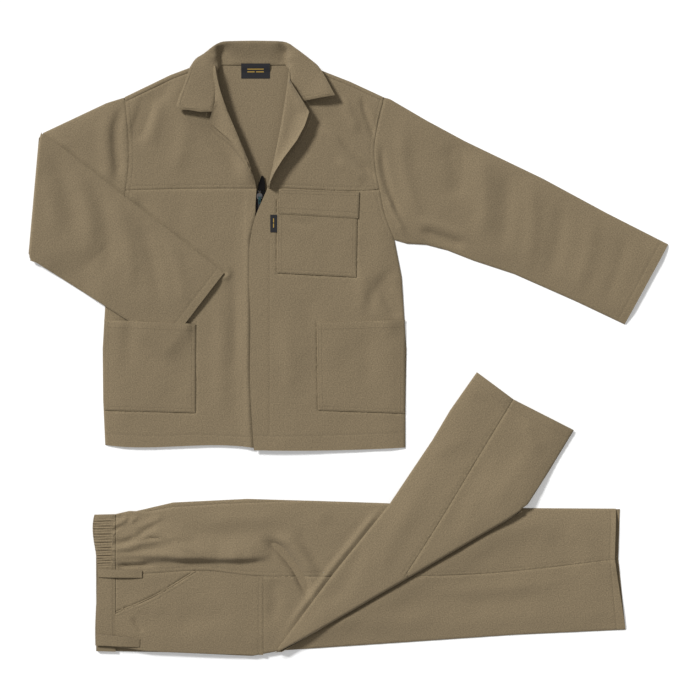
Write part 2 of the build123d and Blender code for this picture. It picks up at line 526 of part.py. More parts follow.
FLY_SLIDER_X = FLY_START_X + FLY_SLIDER_LENGTH / 2 + 1
FLY_SLIDER_LOW_Z = RIGHT_FRONT_Z - TAPE_THICKNESS - FLY_PLATE
FLY_SLIDER_HIGH_Z = LEFT_LEG_Z + CLOTH + TAPE_THICKNESS + FLY_PLATE
FLY_BACK_Y = FLY_CHAIN_Y + FLY_CHAIN_WIDTH / 2 + 0.3
FLY_FACE_Y = FLY_BACK_Y + SLIDER_PLATE
FLY_HINGE_X = FLY_SLIDER_X + FLY_PIVOT_X
FLY_HINGE_Y = FLY_FACE_Y + FLY_PIVOT_OUT
with BuildPart() as fly_slider:
    with Locations((FLY_SLIDER_X, (TAPE_EDGE_Y + 0.4 + FLY_FACE_Y) / 2,
                    (FLY_SLIDER_LOW_Z + FLY_SLIDER_HIGH_Z) / 2)):
        Box(FLY_SLIDER_LENGTH, FLY_FACE_Y - TAPE_EDGE_Y - 0.4, FLY_SLIDER_HIGH_Z - FLY_SLIDER_LOW_Z)
    with Locations((FLY_SLIDER_X, (TAPE_EDGE_Y + FLY_BACK_Y) / 2 - 1,
                    (FLY_SLIDER_LOW_Z + FLY_SLIDER_HIGH_Z) / 2)):
        Box(FLY_SLIDER_LENGTH + 1, FLY_BACK_Y - TAPE_EDGE_Y + 2,
            FLY_SLIDER_HIGH_Z - FLY_SLIDER_LOW_Z - 1.6, mode=Mode.SUBTRACT)
    # two lugs that hold the pull's upright pivot
    for lug_z in (FLY_SLIDER_LOW_Z + 0.5, FLY_SLIDER_HIGH_Z - 0.5):
        with Locations((FLY_HINGE_X, FLY_HINGE_Y, lug_z)):
            Box(2, 1.4, 1.0)
    with Locations((FLY_HINGE_X, FLY_HINGE_Y, (FLY_SLIDER_LOW_Z + FLY_SLIDER_HIGH_Z) / 2)):
        Cylinder(PIVOT_RADIUS + PIVOT_ROOM, 20, mode=Mode.SUBTRACT)
save(fly_slider, "fly_slider")
PULL_LOW_Z = FLY_SLIDER_LOW_Z + 1.2
PULL_HIGH_Z = FLY_SLIDER_HIGH_Z - 1.2
with BuildPart() as fly_pull:
    with Locations((FLY_HINGE_X, FLY_HINGE_Y, (PULL_LOW_Z + PULL_HIGH_Z) / 2)):
        Cylinder(PIVOT_RADIUS, FLY_SLIDER_HIGH_Z - FLY_SLIDER_LOW_Z - 0.2)
    with Locations((FLY_HINGE_X + FLY_PULL_LENGTH / 2, FLY_HINGE_Y,
                    (PULL_LOW_Z + PULL_HIGH_Z) / 2)):
        Box(FLY_PULL_LENGTH, PULL_THICKNESS, PULL_HIGH_Z - PULL_LOW_Z)
save(fly_pull, "fly_pull")

with BuildPart() as button:
    with BuildSketch(Plane.XY.offset(LEFT_LEG_Z + CLOTH)):
        with Locations(BUTTON_CENTRE):
            Circle(BUTTON_RADIUS / 2)
    extrude(amount=BUTTON_SHANK)
    with BuildSketch(Plane.XY.offset(LEFT_LEG_Z + CLOTH + BUTTON_SHANK)):
        with Locations(BUTTON_CENTRE):
            Circle(BUTTON_RADIUS)
    extrude(amount=BUTTON_THICKNESS)
save(button, "waist_button")
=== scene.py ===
import math

import bpy
import numpy as np
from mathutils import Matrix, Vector
from mathutils.geometry import delaunay_2d_cdt
from mathutils.kdtree import KDTree


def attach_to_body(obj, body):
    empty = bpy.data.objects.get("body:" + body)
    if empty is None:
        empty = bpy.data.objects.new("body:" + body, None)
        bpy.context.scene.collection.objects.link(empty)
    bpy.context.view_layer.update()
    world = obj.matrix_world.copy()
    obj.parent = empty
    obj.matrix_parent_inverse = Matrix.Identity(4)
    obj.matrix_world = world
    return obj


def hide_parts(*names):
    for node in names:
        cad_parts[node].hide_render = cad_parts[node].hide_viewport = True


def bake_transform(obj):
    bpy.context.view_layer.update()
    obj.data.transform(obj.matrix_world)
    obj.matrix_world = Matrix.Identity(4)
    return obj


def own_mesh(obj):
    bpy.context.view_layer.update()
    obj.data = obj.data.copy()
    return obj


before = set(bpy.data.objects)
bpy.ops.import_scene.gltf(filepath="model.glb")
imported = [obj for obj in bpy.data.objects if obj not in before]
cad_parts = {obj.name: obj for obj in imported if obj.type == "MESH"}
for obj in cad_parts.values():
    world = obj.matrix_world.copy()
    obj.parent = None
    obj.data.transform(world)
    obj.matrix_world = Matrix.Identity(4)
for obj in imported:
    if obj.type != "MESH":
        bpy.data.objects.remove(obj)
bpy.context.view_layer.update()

# Heights and outlines are in millimetres in the row frame until a mesh is made.
CLOTH = 0.7            # thickness of a layer of cloth
GRID = 4.2             # spacing of the points of a layer that shows
COARSE = 9.0           # spacing in a layer that lies underneath
NOSE = 6.55            # radius of the turn at a fold of the sleeve or leg
ARC = NOSE * math.pi / 2
SLEEVE_AXIS = 6.55     # height of the middle of the turn at the right sleeve's fold
LEG_AXIS = 13.25       # height of the middle of the turn at the left leg's fold
FOLDED_LOW = 6.7       # underside of the folded forearm, and of the hip on the right leg
LEG_LOW = 13.4         # underside of the folded leg on the hip
UNDER_FOREARM = 6.3    # the jacket stays below this height where the forearm lies on it
UNDER_LEG = 13.0       # the hip stays below this height where the leg lies on it
LAPEL_HEIGHT = 27.0    # a lapel that would stand above this height is pressed down
LENGTHWISE = math.pi / 2    # grain along y
LEFT_SLEEVE_GRAIN = -0.44   # these run roughly along their sleeve or leg
UPPER_ARM_GRAIN = 0.6
FOREARM_GRAIN = -0.62
LEFT_LEG_GRAIN = 0.98
GROOVE = 1.5           # half the width of the valley along a seam or a row of stitches
FOLD_STRENGTH = 3.0    # every ridge and valley below is taken this many times
TUCK = 1.4             # how far a lower layer is drawn in from a folded edge

# ---- shapes in the plane -----------------------------------------------------------------


def curve(points, step=6.0):
    """Points along a smooth line through the given ones."""
    p = np.asarray(points, float)
    if len(p) == 2:
        return p
    ends = np.vstack([2 * p[0] - p[1], p, 2 * p[-1] - p[-2]])
    made = []
    for a, b, c, d in zip(ends[:-3], ends[1:-2], ends[2:-1], ends[3:]):
        n = max(2, int(np.hypot(*(c - b)) / step))
        t = np.arange(n)[:, None] / n
        made.append(0.5 * (2 * b + (c - a) * t + (2 * a - 5 * b + 4 * c - d) * t ** 2
                           + (3 * b - a - 3 * c + d) * t ** 3))
    return np.vstack([*made, p[-1:]])


def near(x, y, line):
    """Distance of points from a line, and how far along it they are, from 0 to 1."""
    line = np.asarray(line, float)
    best, along, start = np.full(np.shape(x), 1e9), np.zeros(np.shape(x)), 0.0
    for (ax, ay), (bx, by) in zip(line[:-1], line[1:]):
        run = math.hypot(bx - ax, by - ay)
        if run < 1e-6:
            continue
        t = np.clip(((x - ax) * (bx - ax) + (y - ay) * (by - ay)) / run ** 2, 0, 1)
        d = np.hypot(x - ax - t * (bx - ax), y - ay - t * (by - ay))
        closer = d < best
        best, along = np.where(closer, d, best), np.where(closer, start + t * run, along)
        start += run
    return best, along / start


def gap(x, y, line):
    """Distance of points from a line."""
    return near(x, y, line)[0]


def nearest(x, y, lines):
    """Distance of points from the nearest of several lines."""
    best = np.full(np.shape(x), 1e3)
    for line in lines:
        best = np.minimum(best, gap(x, y, line))
    return best


def inside(x, y, loop):
    """True for points inside a closed outline."""
    hit = np.zeros(np.shape(x), bool)
    loop = np.asarray(loop, float)
    for (ax, ay), (bx, by) in zip(loop, np.roll(loop, -1, axis=0)):
        if ay != by:
            hit ^= ((ay > y) != (by > y)) & (x < (bx - ax) * (y - ay) / (by - ay) + ax)
    return hit


def closed(loop):
    """The outline as a line that comes back to its first point."""
    return np.vstack([loop, loop[:1]])


def signed(x, y, loop):
    """Distance outside a closed outline, below zero inside it."""
    d = gap(x, y, closed(loop))
    return np.where(inside(x, y, loop), -d, d)


def ease(t):
    """From 0 to 1 without a corner at either end."""
    t = np.clip(t, 0, 1)
    return t * t * (3 - 2 * t)


def hump(away, width):
    """1 where away is 0, and fading to nothing over about twice the width."""
    return np.exp(-(away / width) ** 2)


def mound(x, y, place, width, depth):
    """A hump round a place, with its own width along x and along y."""
    return np.exp(-((x - place[0]) / width) ** 2 - ((y - place[1]) / depth) ** 2)


def rotation(angle):
    """The matrix that turns a plane by an angle."""
    return np.array([[math.cos(angle), math.sin(angle)], [-math.sin(angle), math.cos(angle)]])


def right_of(line):
    """The direction that points squarely to the right of a straight line, to four digits."""
    (ax, ay), (bx, by) = line
    return np.round(np.array([by - ay, ax - bx]) / math.hypot(bx - ax, by - ay), 4)


def beyond(x, y, line):
    """How far points lie to the right of a straight line."""
    (ax, ay), outward = line[0], right_of(line)
    return (x - ax) * outward[0] + (y - ay) * outward[1]


def offset(line, distance):
    """A line moved to its left by a distance."""
    line = np.asarray(line, float)
    run = np.gradient(line, axis=0)
    run /= np.maximum(np.hypot(run[:, 0], run[:, 1]), 1e-9)[:, None]
    return line + np.stack([-run[:, 1], run[:, 0]], 1) * distance


def area_of(loop):
    """The area inside a closed outline."""
    x, y = np.asarray(loop, float).T
    return abs(np.dot(x, np.roll(y, -1)) - np.dot(y, np.roll(x, -1))) / 2


def outline(node, level=None):
    """The outline of a flat CAD layer, from the faces of its node that face up at that level."""
    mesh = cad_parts[node].data
    co = np.array([v.co for v in mesh.vertices]) * 1000
    level = co[:, 2].max() if level is None else level
    keys = [(round(x, 3), round(y, 3)) for x, y, z in co]
    count = {}
    for face in mesh.polygons:
        ids = list(face.vertices)
        if face.normal.z > 0.9 and all(abs(co[i][2] - level) < 0.01 for i in ids):
            for a, b in zip(ids, ids[1:] + ids[:1]):
                edge = (keys[a], keys[b])
                if edge[::-1] in count:
                    del count[edge[::-1]]
                else:
                    count[edge] = 1
    follow = dict(count.keys())
    loops = []
    while follow:
        start, end = follow.popitem()
        loop = [start]
        while end != start and end in follow:
            loop.append(end)
            end = follow.pop(end)
        loops.append(loop)
    return np.array(max(loops, key=area_of))


# ---- heights -----------------------------------------------------------------------------
LATTICE = np.random.default_rng(11).uniform(-1, 1, (64, 64))


def ripple(x, y, size, turn=0.0, stretch=1.0, shift=0.0):
    """Smooth random waves of about that size, longer by stretch in the direction of turn."""
    u = (x * math.cos(turn) + y * math.sin(turn)) / (size * stretch) + 31.7 + shift
    v = (-x * math.sin(turn) + y * math.cos(turn)) / size + 17.3 + shift
    i, j = np.floor(u).astype(int), np.floor(v).astype(int)
    f, g = ease(u - i), ease(v - j)
    corner = [LATTICE[(i + a) % 64, (j + b) % 64] for a in (0, 1) for b in (0, 1)]
    return (corner[0] * (1 - g) + corner[1] * g) * (1 - f) + (corner[2] * (1 - g) + corner[3] * g) * f


def crumple(x, y, shift=0.0):
    """The small unevenness of any laid cloth."""
    return (0.85 * ripple(x, y, 95, 0.5, 1.6, shift) + 0.5 * ripple(x, y, 38, 0.9, 2.2, shift)
            + 0.16 * ripple(x, y, 14, 0.3, 1.8, shift))


def folds(x, y, strokes):
    """Ridges and valleys: each is its points, half width and height, and fades at both ends."""
    total = np.zeros(np.shape(x))
    for points, width, height in strokes:
        d, s = near(x, y, curve(points))
        total += height * ease(np.minimum(s, 1 - s) / 0.3) * hump(d, width)
    return FOLD_STRENGTH * total


def wrinkled(x, y, edge, strokes, shift=0.0, least=0.1, band=14):
    """Folds and crumple, which fade over a band towards an edge that lies at that distance."""
    return (folds(x, y, strokes) + crumple(x, y, shift)) * np.clip(edge / band, least, 1)


def rolls(x, y, strokes):
    """Cloth that rolls over a crease: it stands just above the line and sinks away behind it."""
    total = np.zeros(np.shape(x))
    for points, steep, behind in strokes:
        px, py, height = np.array(points, float).T
        rise = y - np.interp(x, px, py)
        along = np.interp(x, px, height, left=0, right=0)
        total = np.maximum(total, along * ease(rise / steep) * (1 - ease((rise - steep) / behind)))
    return total


def edge_rise(d, lift, reach=42.0, bead=1.5):
    """Height of an upper layer above the lower one, at a distance from the edge where they join."""
    t = 1 - np.clip(d / 2.4, 0, 1)
    return bead * np.sqrt(1 - t * t) + lift * np.sin(np.clip(d / reach, 0, 1) * math.pi / 2)


def grooves(x, y, seams=(), rows=()):
    """Seams are narrow valleys, and rows of stitching pull the cloth down a little."""
    total = np.zeros(np.shape(x))
    for lines, depth in ((seams, 1.15), (rows, 0.35)):
        for line in lines:
            total -= depth * np.clip(1 - gap(x, y, line) / GROOVE, 0, 1)
    return total


# ---- meshes ------------------------------------------------------------------------------


def resample(line, step, loop=False):
    """Points at about even steps along a line, or round a loop, which keep its corners."""
    line = np.asarray(line, float)
    line = closed(line) if loop else line
    made = []
    for a, b in zip(line[:-1], line[1:]):
        n = max(1, round(math.hypot(*(b - a)) / step))
        made += [a + (b - a) * k / n for k in range(n)]
    return np.array(made if loop else [*made, line[-1]])


def tidy(loop, least=1.2):
    """The outline without the points that lie almost on the one before."""
    kept = [loop[0]]
    for p in loop[1:]:
        if math.hypot(*(p - kept[-1])) >= least:
            kept.append(p)
    if math.hypot(*(kept[-1] - kept[0])) < least:
        kept.pop()
    return np.array(kept)


def sheet(name, loop, place, grid=GRID, rows=(), thickness=CLOTH, grain=0.0, material="drill"):
    """A closed mesh of cloth. place(x, y) gives the outer surface over a flat outline."""
    border = tidy(resample(tidy(np.asarray(loop, float)), grid, loop=True))
    taken, extra = {}, []

    def add(p, room):
        cell = (int(p[0] // room), int(p[1] // room))
        for i in (-1, 0, 1):
            for j in (-1, 0, 1):
                for q in taken.get((cell[0] + i, cell[1] + j, room), ()):
                    if math.hypot(p[0] - q[0], p[1] - q[1]) < room:
                        return
        taken.setdefault((*cell, room), []).append(p)
        extra.append(p)

    tree = KDTree(len(border))
    for i, p in enumerate(border):
        tree.insert((*p, 0), i)
    tree.balance()
    for line in rows:
        pts = resample(line, grid)
        for p, hit in zip(pts, inside(pts[:, 0], pts[:, 1], border)):
            if hit and tree.find((*p, 0))[2] > 0.9:
                add(p, 1.3)
    full = KDTree(len(border) + len(extra))
    for i, p in enumerate([*border, *extra]):
        full.insert((*p, 0), i)
    full.balance()
    low, high = border.min(0), border.max(0)
    gx, gy = np.meshgrid(np.arange(low[0], high[0], grid), np.arange(low[1], high[1], grid * 0.866))
    gx = gx + (np.arange(gx.shape[0]) % 2)[:, None] * grid / 2
    gx, gy = gx.ravel(), gy.ravel()
    hit = inside(gx, gy, border)
    points = [Vector(p) for p in [*border, *extra]]
    points += [Vector((a, b)) for a, b in zip(gx[hit], gy[hit]) if full.find((a, b, 0))[2] > grid * 0.55]
    flat, _, tris, _, _, _ = delaunay_2d_cdt(points, [], [list(range(len(border)))], 1, 1e-4)
    flat = np.array([tuple(p) for p in flat])
    tris = np.array([t for t in tris if len(t) == 3])
    top = np.stack(place(flat[:, 0], flat[:, 1]), 1)
    return close_up(name, flat, tris, top, thickness, grain, material)


def make_object(name, points, faces, material):
    """An object in the scene, from points in millimetres."""
    mesh = bpy.data.meshes.new(name)
    mesh.from_pydata((np.array(points) / 1000).tolist(), [], faces)
    mesh.update()
    mesh.shade_smooth()
    mesh.materials.append(MATERIALS[material])
    made = bpy.data.objects.new(name, mesh)
    bpy.context.scene.collection.objects.link(made)
    return made


def close_up(name, flat, tris, top, thickness, grain, material):
    """Give a surface its thickness: an inner face, and a rim round its border."""
    a, b, c = (top[tris[:, k]] for k in range(3))
    face_normal = np.cross(b - a, c - a)
    normal = np.zeros_like(top)
    for k in range(3):
        np.add.at(normal, tris[:, k], face_normal)
    normal /= np.maximum(np.linalg.norm(normal, axis=1), 1e-12)[:, None]
    under = top - normal * thickness
    edges = {}
    for t in tris.tolist():
        for p, q in ((t[0], t[1]), (t[1], t[2]), (t[2], t[0])):
            if (q, p) in edges:
                del edges[(q, p)]
            else:
                edges[(p, q)] = True
    n = len(top)
    faces = tris.tolist() + (tris[:, ::-1] + n).tolist() + [(q, p, p + n, q + n) for p, q in edges]
    piece = make_object(name, np.vstack([top, under]), faces, material)
    piece.data.set_sharp_from_angle(angle=math.radians(52))
    uv = np.zeros((2 * n, 3), np.float32)
    uv[:n, :2] = flat @ rotation(grain).T
    uv[n:] = uv[:n]
    piece.data.attributes.new("grain", "FLOAT_VECTOR", "POINT").data.foreach_set("vector", uv.ravel())
    piece["flat_area"] = area_in_plane(flat, tris)
    piece["flat_size"] = extent(flat)
    return piece


def area_in_plane(flat, tris):
    """The area of the flat piece, in square metres."""
    a, b, c = (flat[tris[:, k]] for k in range(3))
    u, v = b - a, c - a
    return float(np.abs(u[:, 0] * v[:, 1] - u[:, 1] * v[:, 0]).sum() / 2e6)


def extent(flat):
    """The sides of the smallest rectangle that the flat piece can be cut from, in metres."""
    best = None
    for angle in np.radians(np.arange(0, 90, 2)):
        size = np.ptp(flat @ rotation(angle).T, axis=0) / 1000
        if best is None or size[0] * size[1] < best[0] * best[1]:
            best = size
    return [float(x) for x in best]


def attach(piece, body, node=None):
    """Hide the node that a small piece stands for, if one is given, and attach the piece to the body that
    carries it.
    """
    if node:
        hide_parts(node)
    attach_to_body(piece, body)
    return piece


def threads(name, lines, body, pitch=3.7, long=2.9, wide=0.5):
    """Rows of stitches. Each line is its points and the surface that it is sewn on."""
    verts, faces = [], []
    ring = [(0, 1, 0), (0, 0, 1), (0, -1, 0), (0, 0, -0.6)]
    for points, place in lines:
        line = resample(curve(points), 1.0)
        run = np.concatenate([[0], np.cumsum(np.hypot(*np.diff(line, axis=0).T))])
        at = np.arange(pitch / 2, run[-1], pitch)
        ends = [np.stack([np.interp(at + s * long / 2, run, line[:, k]) for k in (0, 1)], 1) for s in (-1, 1)]
        a, b = (np.stack(place(e[:, 0], e[:, 1]), 1) for e in ends)
        along = b - a
        length = np.maximum(np.linalg.norm(along, axis=1), 1e-6)[:, None]
        along = along / length
        across = np.cross(np.array([0, 0, 1.0]), along)
        across /= np.maximum(np.linalg.norm(across, axis=1), 1e-6)[:, None]
        up = np.cross(along, across)
        for k in range(len(at)):
            base = len(verts)
            for share, size in ((0.0, 0.35), (0.2, 1.0), (0.8, 1.0), (1.0, 0.35)):
                c = a[k] * (1 - share) + b[k] * share + up[k] * (0.12 * size)
                verts += [c + across[k] * (r[1] * wide / 2 * size) + up[k] * (r[2] * wide / 2 * size)
                          for r in ring]
            for r in range(3):
                for s in range(4):
                    p, q = base + 4 * r + s, base + 4 * r + (s + 1) % 4
                    faces.append((p, q, q + 4, p + 4))
            faces += [(base, base + 3, base + 2, base + 1), (base + 12, base + 13, base + 14, base + 15)]
    return attach(make_object(name, verts, faces, "thread"), body)


# ---- materials ---------------------------------------------------------------------------
MATERIALS = {}


def material(name, color, roughness=0.9, metallic=0.0, sheen=0.0):
    """A plain material, kept in MATERIALS under its name."""
    made = bpy.data.materials.new(name)
    made.use_nodes = True
    shader = made.node_tree.nodes["Principled BSDF"]
    shader.inputs["Base Color"].default_value = (*color, 1)
    shader.inputs["Roughness"].default_value = roughness
    shader.inputs["Metallic"].default_value = metallic
    shader.inputs["Sheen Weight"].default_value = sheen
    MATERIALS[name] = made
    return made.node_tree, shader


def math_node(tree, operation, *values):
    """The output of a new math node. Each value is a number or another node's output."""
    node = tree.nodes.new("ShaderNodeMath")
    node.operation = operation
    for socket, value in zip(node.inputs, values):
        if isinstance(value, (int, float)):
            socket.default_value = value
        else:
            tree.links.new(value, socket)
    return node.outputs[0]


def woven(name, color, twill=1.15, depth=0.00010, mottle=0.10, steep=True, shine=0.5):
    """Cloth: twill lines, flecks of yarn and soft patches, all laid along the grain."""
    tree, shader = material(name, color, 0.92, sheen=0.24 * shine)
    shader.inputs["Specular IOR Level"].default_value = shine
    grain = tree.nodes.new("ShaderNodeAttribute")
    grain.attribute_name = "grain"
    place = grain.outputs["Vector"]
    turned = tree.nodes.new("ShaderNodeMapping")
    turned.inputs["Rotation"].default_value = (0, 0, math.radians(58 if steep else 0))
    tree.links.new(place, turned.inputs["Vector"])
    wave = tree.nodes.new("ShaderNodeTexWave")
    wave.inputs["Scale"].default_value = 0.314 / twill
    wave.inputs["Distortion"].default_value = 1.1
    wave.inputs["Detail"].default_value = 1.0
    wave.inputs["Detail Scale"].default_value = 0.6
    tree.links.new(turned.outputs[0], wave.inputs["Vector"])
    noises = []
    for scale, detail in ((0.42, 3.0), (0.012, 3.0), (0.08, 3.0)):
        noise = tree.nodes.new("ShaderNodeTexNoise")
        noise.inputs["Scale"].default_value = scale
        noise.inputs["Detail"].default_value = detail
        tree.links.new(place, noise.inputs["Vector"])
        noises.append(noise.outputs["Fac"])
    fleck = math_node(tree, "MULTIPLY_ADD", noises[0], 1.15, 0.425)
    lines = math_node(tree, "MULTIPLY_ADD", wave.outputs["Fac"], 0.20, 0.93)
    patch = math_node(tree, "MULTIPLY_ADD", noises[1], mottle, 1 - mottle / 2)
    tone = math_node(tree, "MULTIPLY", math_node(tree, "MULTIPLY", fleck, lines), patch)
    mix = tree.nodes.new("ShaderNodeMix")
    mix.data_type = "RGBA"
    mix.blend_type = "MULTIPLY"
    mix.inputs["Factor"].default_value = 1.0
    mix.inputs["A"].default_value = (*color, 1)
    tree.links.new(tone, mix.inputs["B"])
    tree.links.new(mix.outputs["Result"], shader.inputs["Base Color"])
    height = math_node(tree, "ADD", math_node(tree, "MULTIPLY", wave.outputs["Fac"], 0.7),
                       math_node(tree, "MULTIPLY", noises[0], 0.5))
    height = math_node(tree, "ADD", height, math_node(tree, "MULTIPLY", noises[2], 6.0))
    bump = tree.nodes.new("ShaderNodeBump")
    bump.inputs["Strength"].default_value = 0.9
    bump.inputs["Distance"].default_value = depth
    tree.links.new(height, bump.inputs["Height"])
    tree.links.new(bump.outputs[0], shader.inputs["Normal"])


KHAKI = (0.218, 0.166, 0.096)
woven("drill", KHAKI)
# Zip tape: black tape, painted darker still as painted shade for the deep slit above the slider, with little
# shine so that it stays dark
woven("tape", (0.007, 0.006, 0.006), 0.9, steep=False, shine=0.1)
woven("label_cloth", (0.012, 0.012, 0.015), 0.5, 0.00004, steep=False)
woven("elastic_web", (0.62, 0.60, 0.55), 1.6, steep=False)
# Stitching thread in the cloth's own tone, painted darker than the cloth as painted shade of the grooves
# along its rows
material("thread", (0.19, 0.144, 0.082), 0.7, sheen=0.1)
material("gold_thread", (0.42, 0.27, 0.05), 0.5)
material("teeth", (0.03, 0.03, 0.032), 0.35)
material("slider", (0.14, 0.14, 0.145), 0.58, 1.0)
material("pull", (0.02, 0.06, 0.065), 0.55, 0.4)
material("button", (0.06, 0.045, 0.028), 0.4)

# ---- outlines ----------------------------------------------------------------------------
LOOPS = {n: outline(n) for n in (
    "back_panel", "back_yoke", "right_front", "left_front", "right_front_yoke", "left_front_yoke",
    "right_lapel", "left_lapel", "right_upper_sleeve", "right_lower_sleeve", "left_upper_sleeve",
    "left_lower_sleeve", "right_front_leg", "right_back_leg", "left_front_hip", "left_back_hip",
    "left_front_leg", "left_back_leg", "left_pocket_panel", "left_waistband", "right_waistband")}
UNDER_LOOPS = {n: outline(n, level) for n, level in (
    ("right_front_leg", 1.0), ("right_back_leg", 1.0), ("left_front_hip", 7.7),
    ("left_back_hip", 7.7), ("left_waistband", 7.7))}

RIGHT_ARMHOLE = curve([(-439, 491), (-432, 420), (-431, 360), (-437, 309), (-445, 255), (-458, 211)])
LEFT_ARMHOLE = curve([(67, 490), (48, 400), (50, 350), (58, 310), (68, 262), (87, 212)])
RIGHT_YOKE_SEAM = curve([(-437, 309), (-300, 312), (-182, 312)])
LEFT_YOKE_SEAM = curve([(58, 310), (0, 307), (-160, 314)])
RIGHT_SIDE = [(-458, 211), (-474, 140), (-482, 0), (-481, -100), (-477, -187)]
LEFT_SIDE = [(87, 212), (101, 140), (110, 0), (108, -125), (108, -192)]
RIGHT_HEM = curve([(-477, -187), (-370, -191), (-300, -188), (-184, -193)])
LEFT_HEM = curve([(-187, -197), (-100, -198), (108, -192)])
RIGHT_SHOULDER = [(-439, 491), (-350, 534), (-310, 549), (-262, 556)]
LEFT_SHOULDER = [(-117, 556), (-57, 543), (0, 521), (67, 490)]
RIGHT_SLEEVE_TOP = [(-598, 421), (-475, 479), (-439, 491)]
RIGHT_SLEEVE_UNDER = [(-620, 174), (-555, 195), (-507, 205), (-458, 211)]
LEFT_SLEEVE_TOP = [(67, 490), (78, 487), (148, 446), (224, 405), (376, 332), (500, 265), (620, 204)]
LEFT_SLEEVE_UNDER = [(87, 212), (111, 205), (148, 203), (190, 192), (241, 172), (320, 146), (440, 93),
                     (535, 48)]
LEFT_CUFF = [(535, 48), (620, 204)]
LEFT_SLEEVE_EDGES = [LEFT_SLEEVE_TOP, LEFT_SLEEVE_UNDER]
RIGHT_SLEEVE_EDGES = [RIGHT_SLEEVE_TOP, RIGHT_SLEEVE_UNDER]
RIGHT_CUFF = [(-354, 6), (-245, 148)]
RIGHT_FOLD = [(-598, 421), (-620, 174)]
FOREARM_TOP = [(-598, 421), (-245, 148)]
FOREARM_UNDER = [(-620, 174), (-354, 6)]
RIGHT_ROLL = curve([(-262, 556), (-237, 460), (-203, 380), (-182, 312)])
LEFT_ROLL = curve([(-117, 556), (-130, 460), (-144, 385), (-160, 314)])
JACKET_EDGES = [RIGHT_SIDE, LEFT_SIDE, RIGHT_SHOULDER, LEFT_SHOULDER, *RIGHT_SLEEVE_EDGES,
                *LEFT_SLEEVE_EDGES]
JACKET_LOOP = np.vstack([RIGHT_SIDE[::-1], RIGHT_SLEEVE_UNDER[::-1], RIGHT_SLEEVE_TOP, RIGHT_SHOULDER,
                         LEFT_SHOULDER, LEFT_SIDE])

# Ridges and valleys of the jacket: points, half width, height
JACKET_FOLDS = [
    ([(-440, 480), (-454, 440), (-456, 400), (-452, 350), (-457, 318)], 9, -1.7),
    ([(-470, 465), (-476, 410), (-472, 350), (-478, 300)], 14, 0.9),
    ([(-398, 500), (-400, 470), (-412, 430), (-418, 400)], 13, -1.2),
    ([(-376, 500), (-380, 440), (-392, 390)], 14, 0.9),
    ([(-420, 300), (-400, 260), (-392, 210)], 16, -0.8),
    ([(-470, 180), (-440, 130), (-430, 60), (-436, -60)], 15, -0.8),
    ([(-560, 400), (-540, 330), (-545, 260)], 18, -0.7),
    ([(20, 496), (30, 462), (41, 430), (48, 404)], 5, -1.5),
    ([(-18, 495), (4, 450), (16, 415)], 10, 1.0),
    ([(-30, 416), (10, 376), (54, 326)], 6, -1.4),
    ([(-30, 372), (0, 350), (34, 322)], 10, 0.9),
    ([(-60, 440), (-30, 410), (20, 372), (50, 345)], 10, 0.8),
    ([(70, 306), (84, 266), (112, 216)], 5, 1.3),
    ([(60, 404), (66, 350), (80, 300), (104, 252)], 6, -1.6),
    ([(104, 450), (102, 400), (108, 340), (124, 280), (150, 240)], 14, 0.9),
    ([(130, 230), (150, 226), (180, 214), (230, 200)], 8, -1.6),
    ([(120, 252), (170, 240), (240, 214)], 9, 0.8),
    ([(190, 410), (208, 370), (212, 330), (204, 280)], 22, -1.5),
    ([(250, 390), (262, 330), (262, 260), (250, 200)], 17, 1.0),
    ([(300, 360), (306, 300), (300, 230), (288, 180)], 16, -0.9),
    ([(340, 340), (356, 280), (352, 200), (340, 150)], 15, 0.8),
    ([(410, 300), (410, 240), (396, 170), (384, 128)], 16, -0.8),
    ([(470, 268), (468, 210), (450, 140), (436, 104)], 16, 0.7),
    ([(540, 236), (530, 180), (508, 120), (490, 80)], 14, -0.6),
    ([(96, 160), (60, 130), (40, 96), (38, 60)], 12, -0.9),
    ([(104, 60), (84, 84), (70, 110), (80, 140)], 15, -1.6),
    ([(20, 160), (26, 110), (22, 60)], 14, 0.6),
    ([(-120, 120), (-80, 60), (-70, -20), (-80, -110)], 20, -0.6),
    ([(-140, 60), (-120, 0), (-118, -100)], 16, 0.6),
    ([(-260, 120), (-250, 40), (-252, -60), (-244, -150)], 16, 0.7),
    ([(-226, 160), (-222, 60), (-224, -60)], 13, -0.8),
    ([(-140, 280), (-120, 250), (-60, 240)], 8, -0.5),
    ([(30, 40), (34, -20), (30, -80)], 17, -0.5),
    ([(-320, 300), (-330, 220), (-310, 180)], 20, -0.5),
    ([(-340, 500), (-320, 440), (-330, 380), (-350, 330)], 16, 0.7),
    ([(-338, 528), (-375, 490), (-405, 440), (-420, 385)], 15, -1.3),
    ([(-300, 452), (-262, 414), (-230, 374), (-208, 332)], 17, -1.2),
    ([(-60, 470), (-70, 430), (-90, 390), (-120, 340)], 12, -0.7),
]
# Outlines of the patch pockets: bottom edge, side, mouth and side
CHEST = np.array([(-142, 148), (12, 140), (14, 290), (-141, 290)], float)
RIGHT_HIP = np.array([(-479, -119), (-301, -124), (-301, 49), (-479, 57)], float)
LEFT_HIP = np.array([(-62, -119), (106, -125), (107, 57), (-64, 51)], float)


def around(patch):
    """The sewn edges of a patch, where the cloth under it is pulled into a valley just outside."""
    return offset(resample(patch[[3, 0, 1, 2]], 6), -1.0)


SEAMS_RIGHT = [RIGHT_ARMHOLE, RIGHT_YOKE_SEAM, offset(RIGHT_SHOULDER, -9), around(RIGHT_HIP)]
SEAMS_LEFT = [LEFT_ARMHOLE, LEFT_YOKE_SEAM, offset(LEFT_SHOULDER, -8), around(CHEST), around(LEFT_HIP)]


LAP_EDGE = np.array([(-182, 264), (-194, 215), (-194, 60), (-195, -40), (-191, -140), (-187, -197)], float)


def roll_lift(x, y, roll, lift):
    """A front stands up towards the line along which its lapel turns back."""
    d, along = near(x, y, roll)
    return lift * ease((1 - along) * 5) * hump(d, 17)


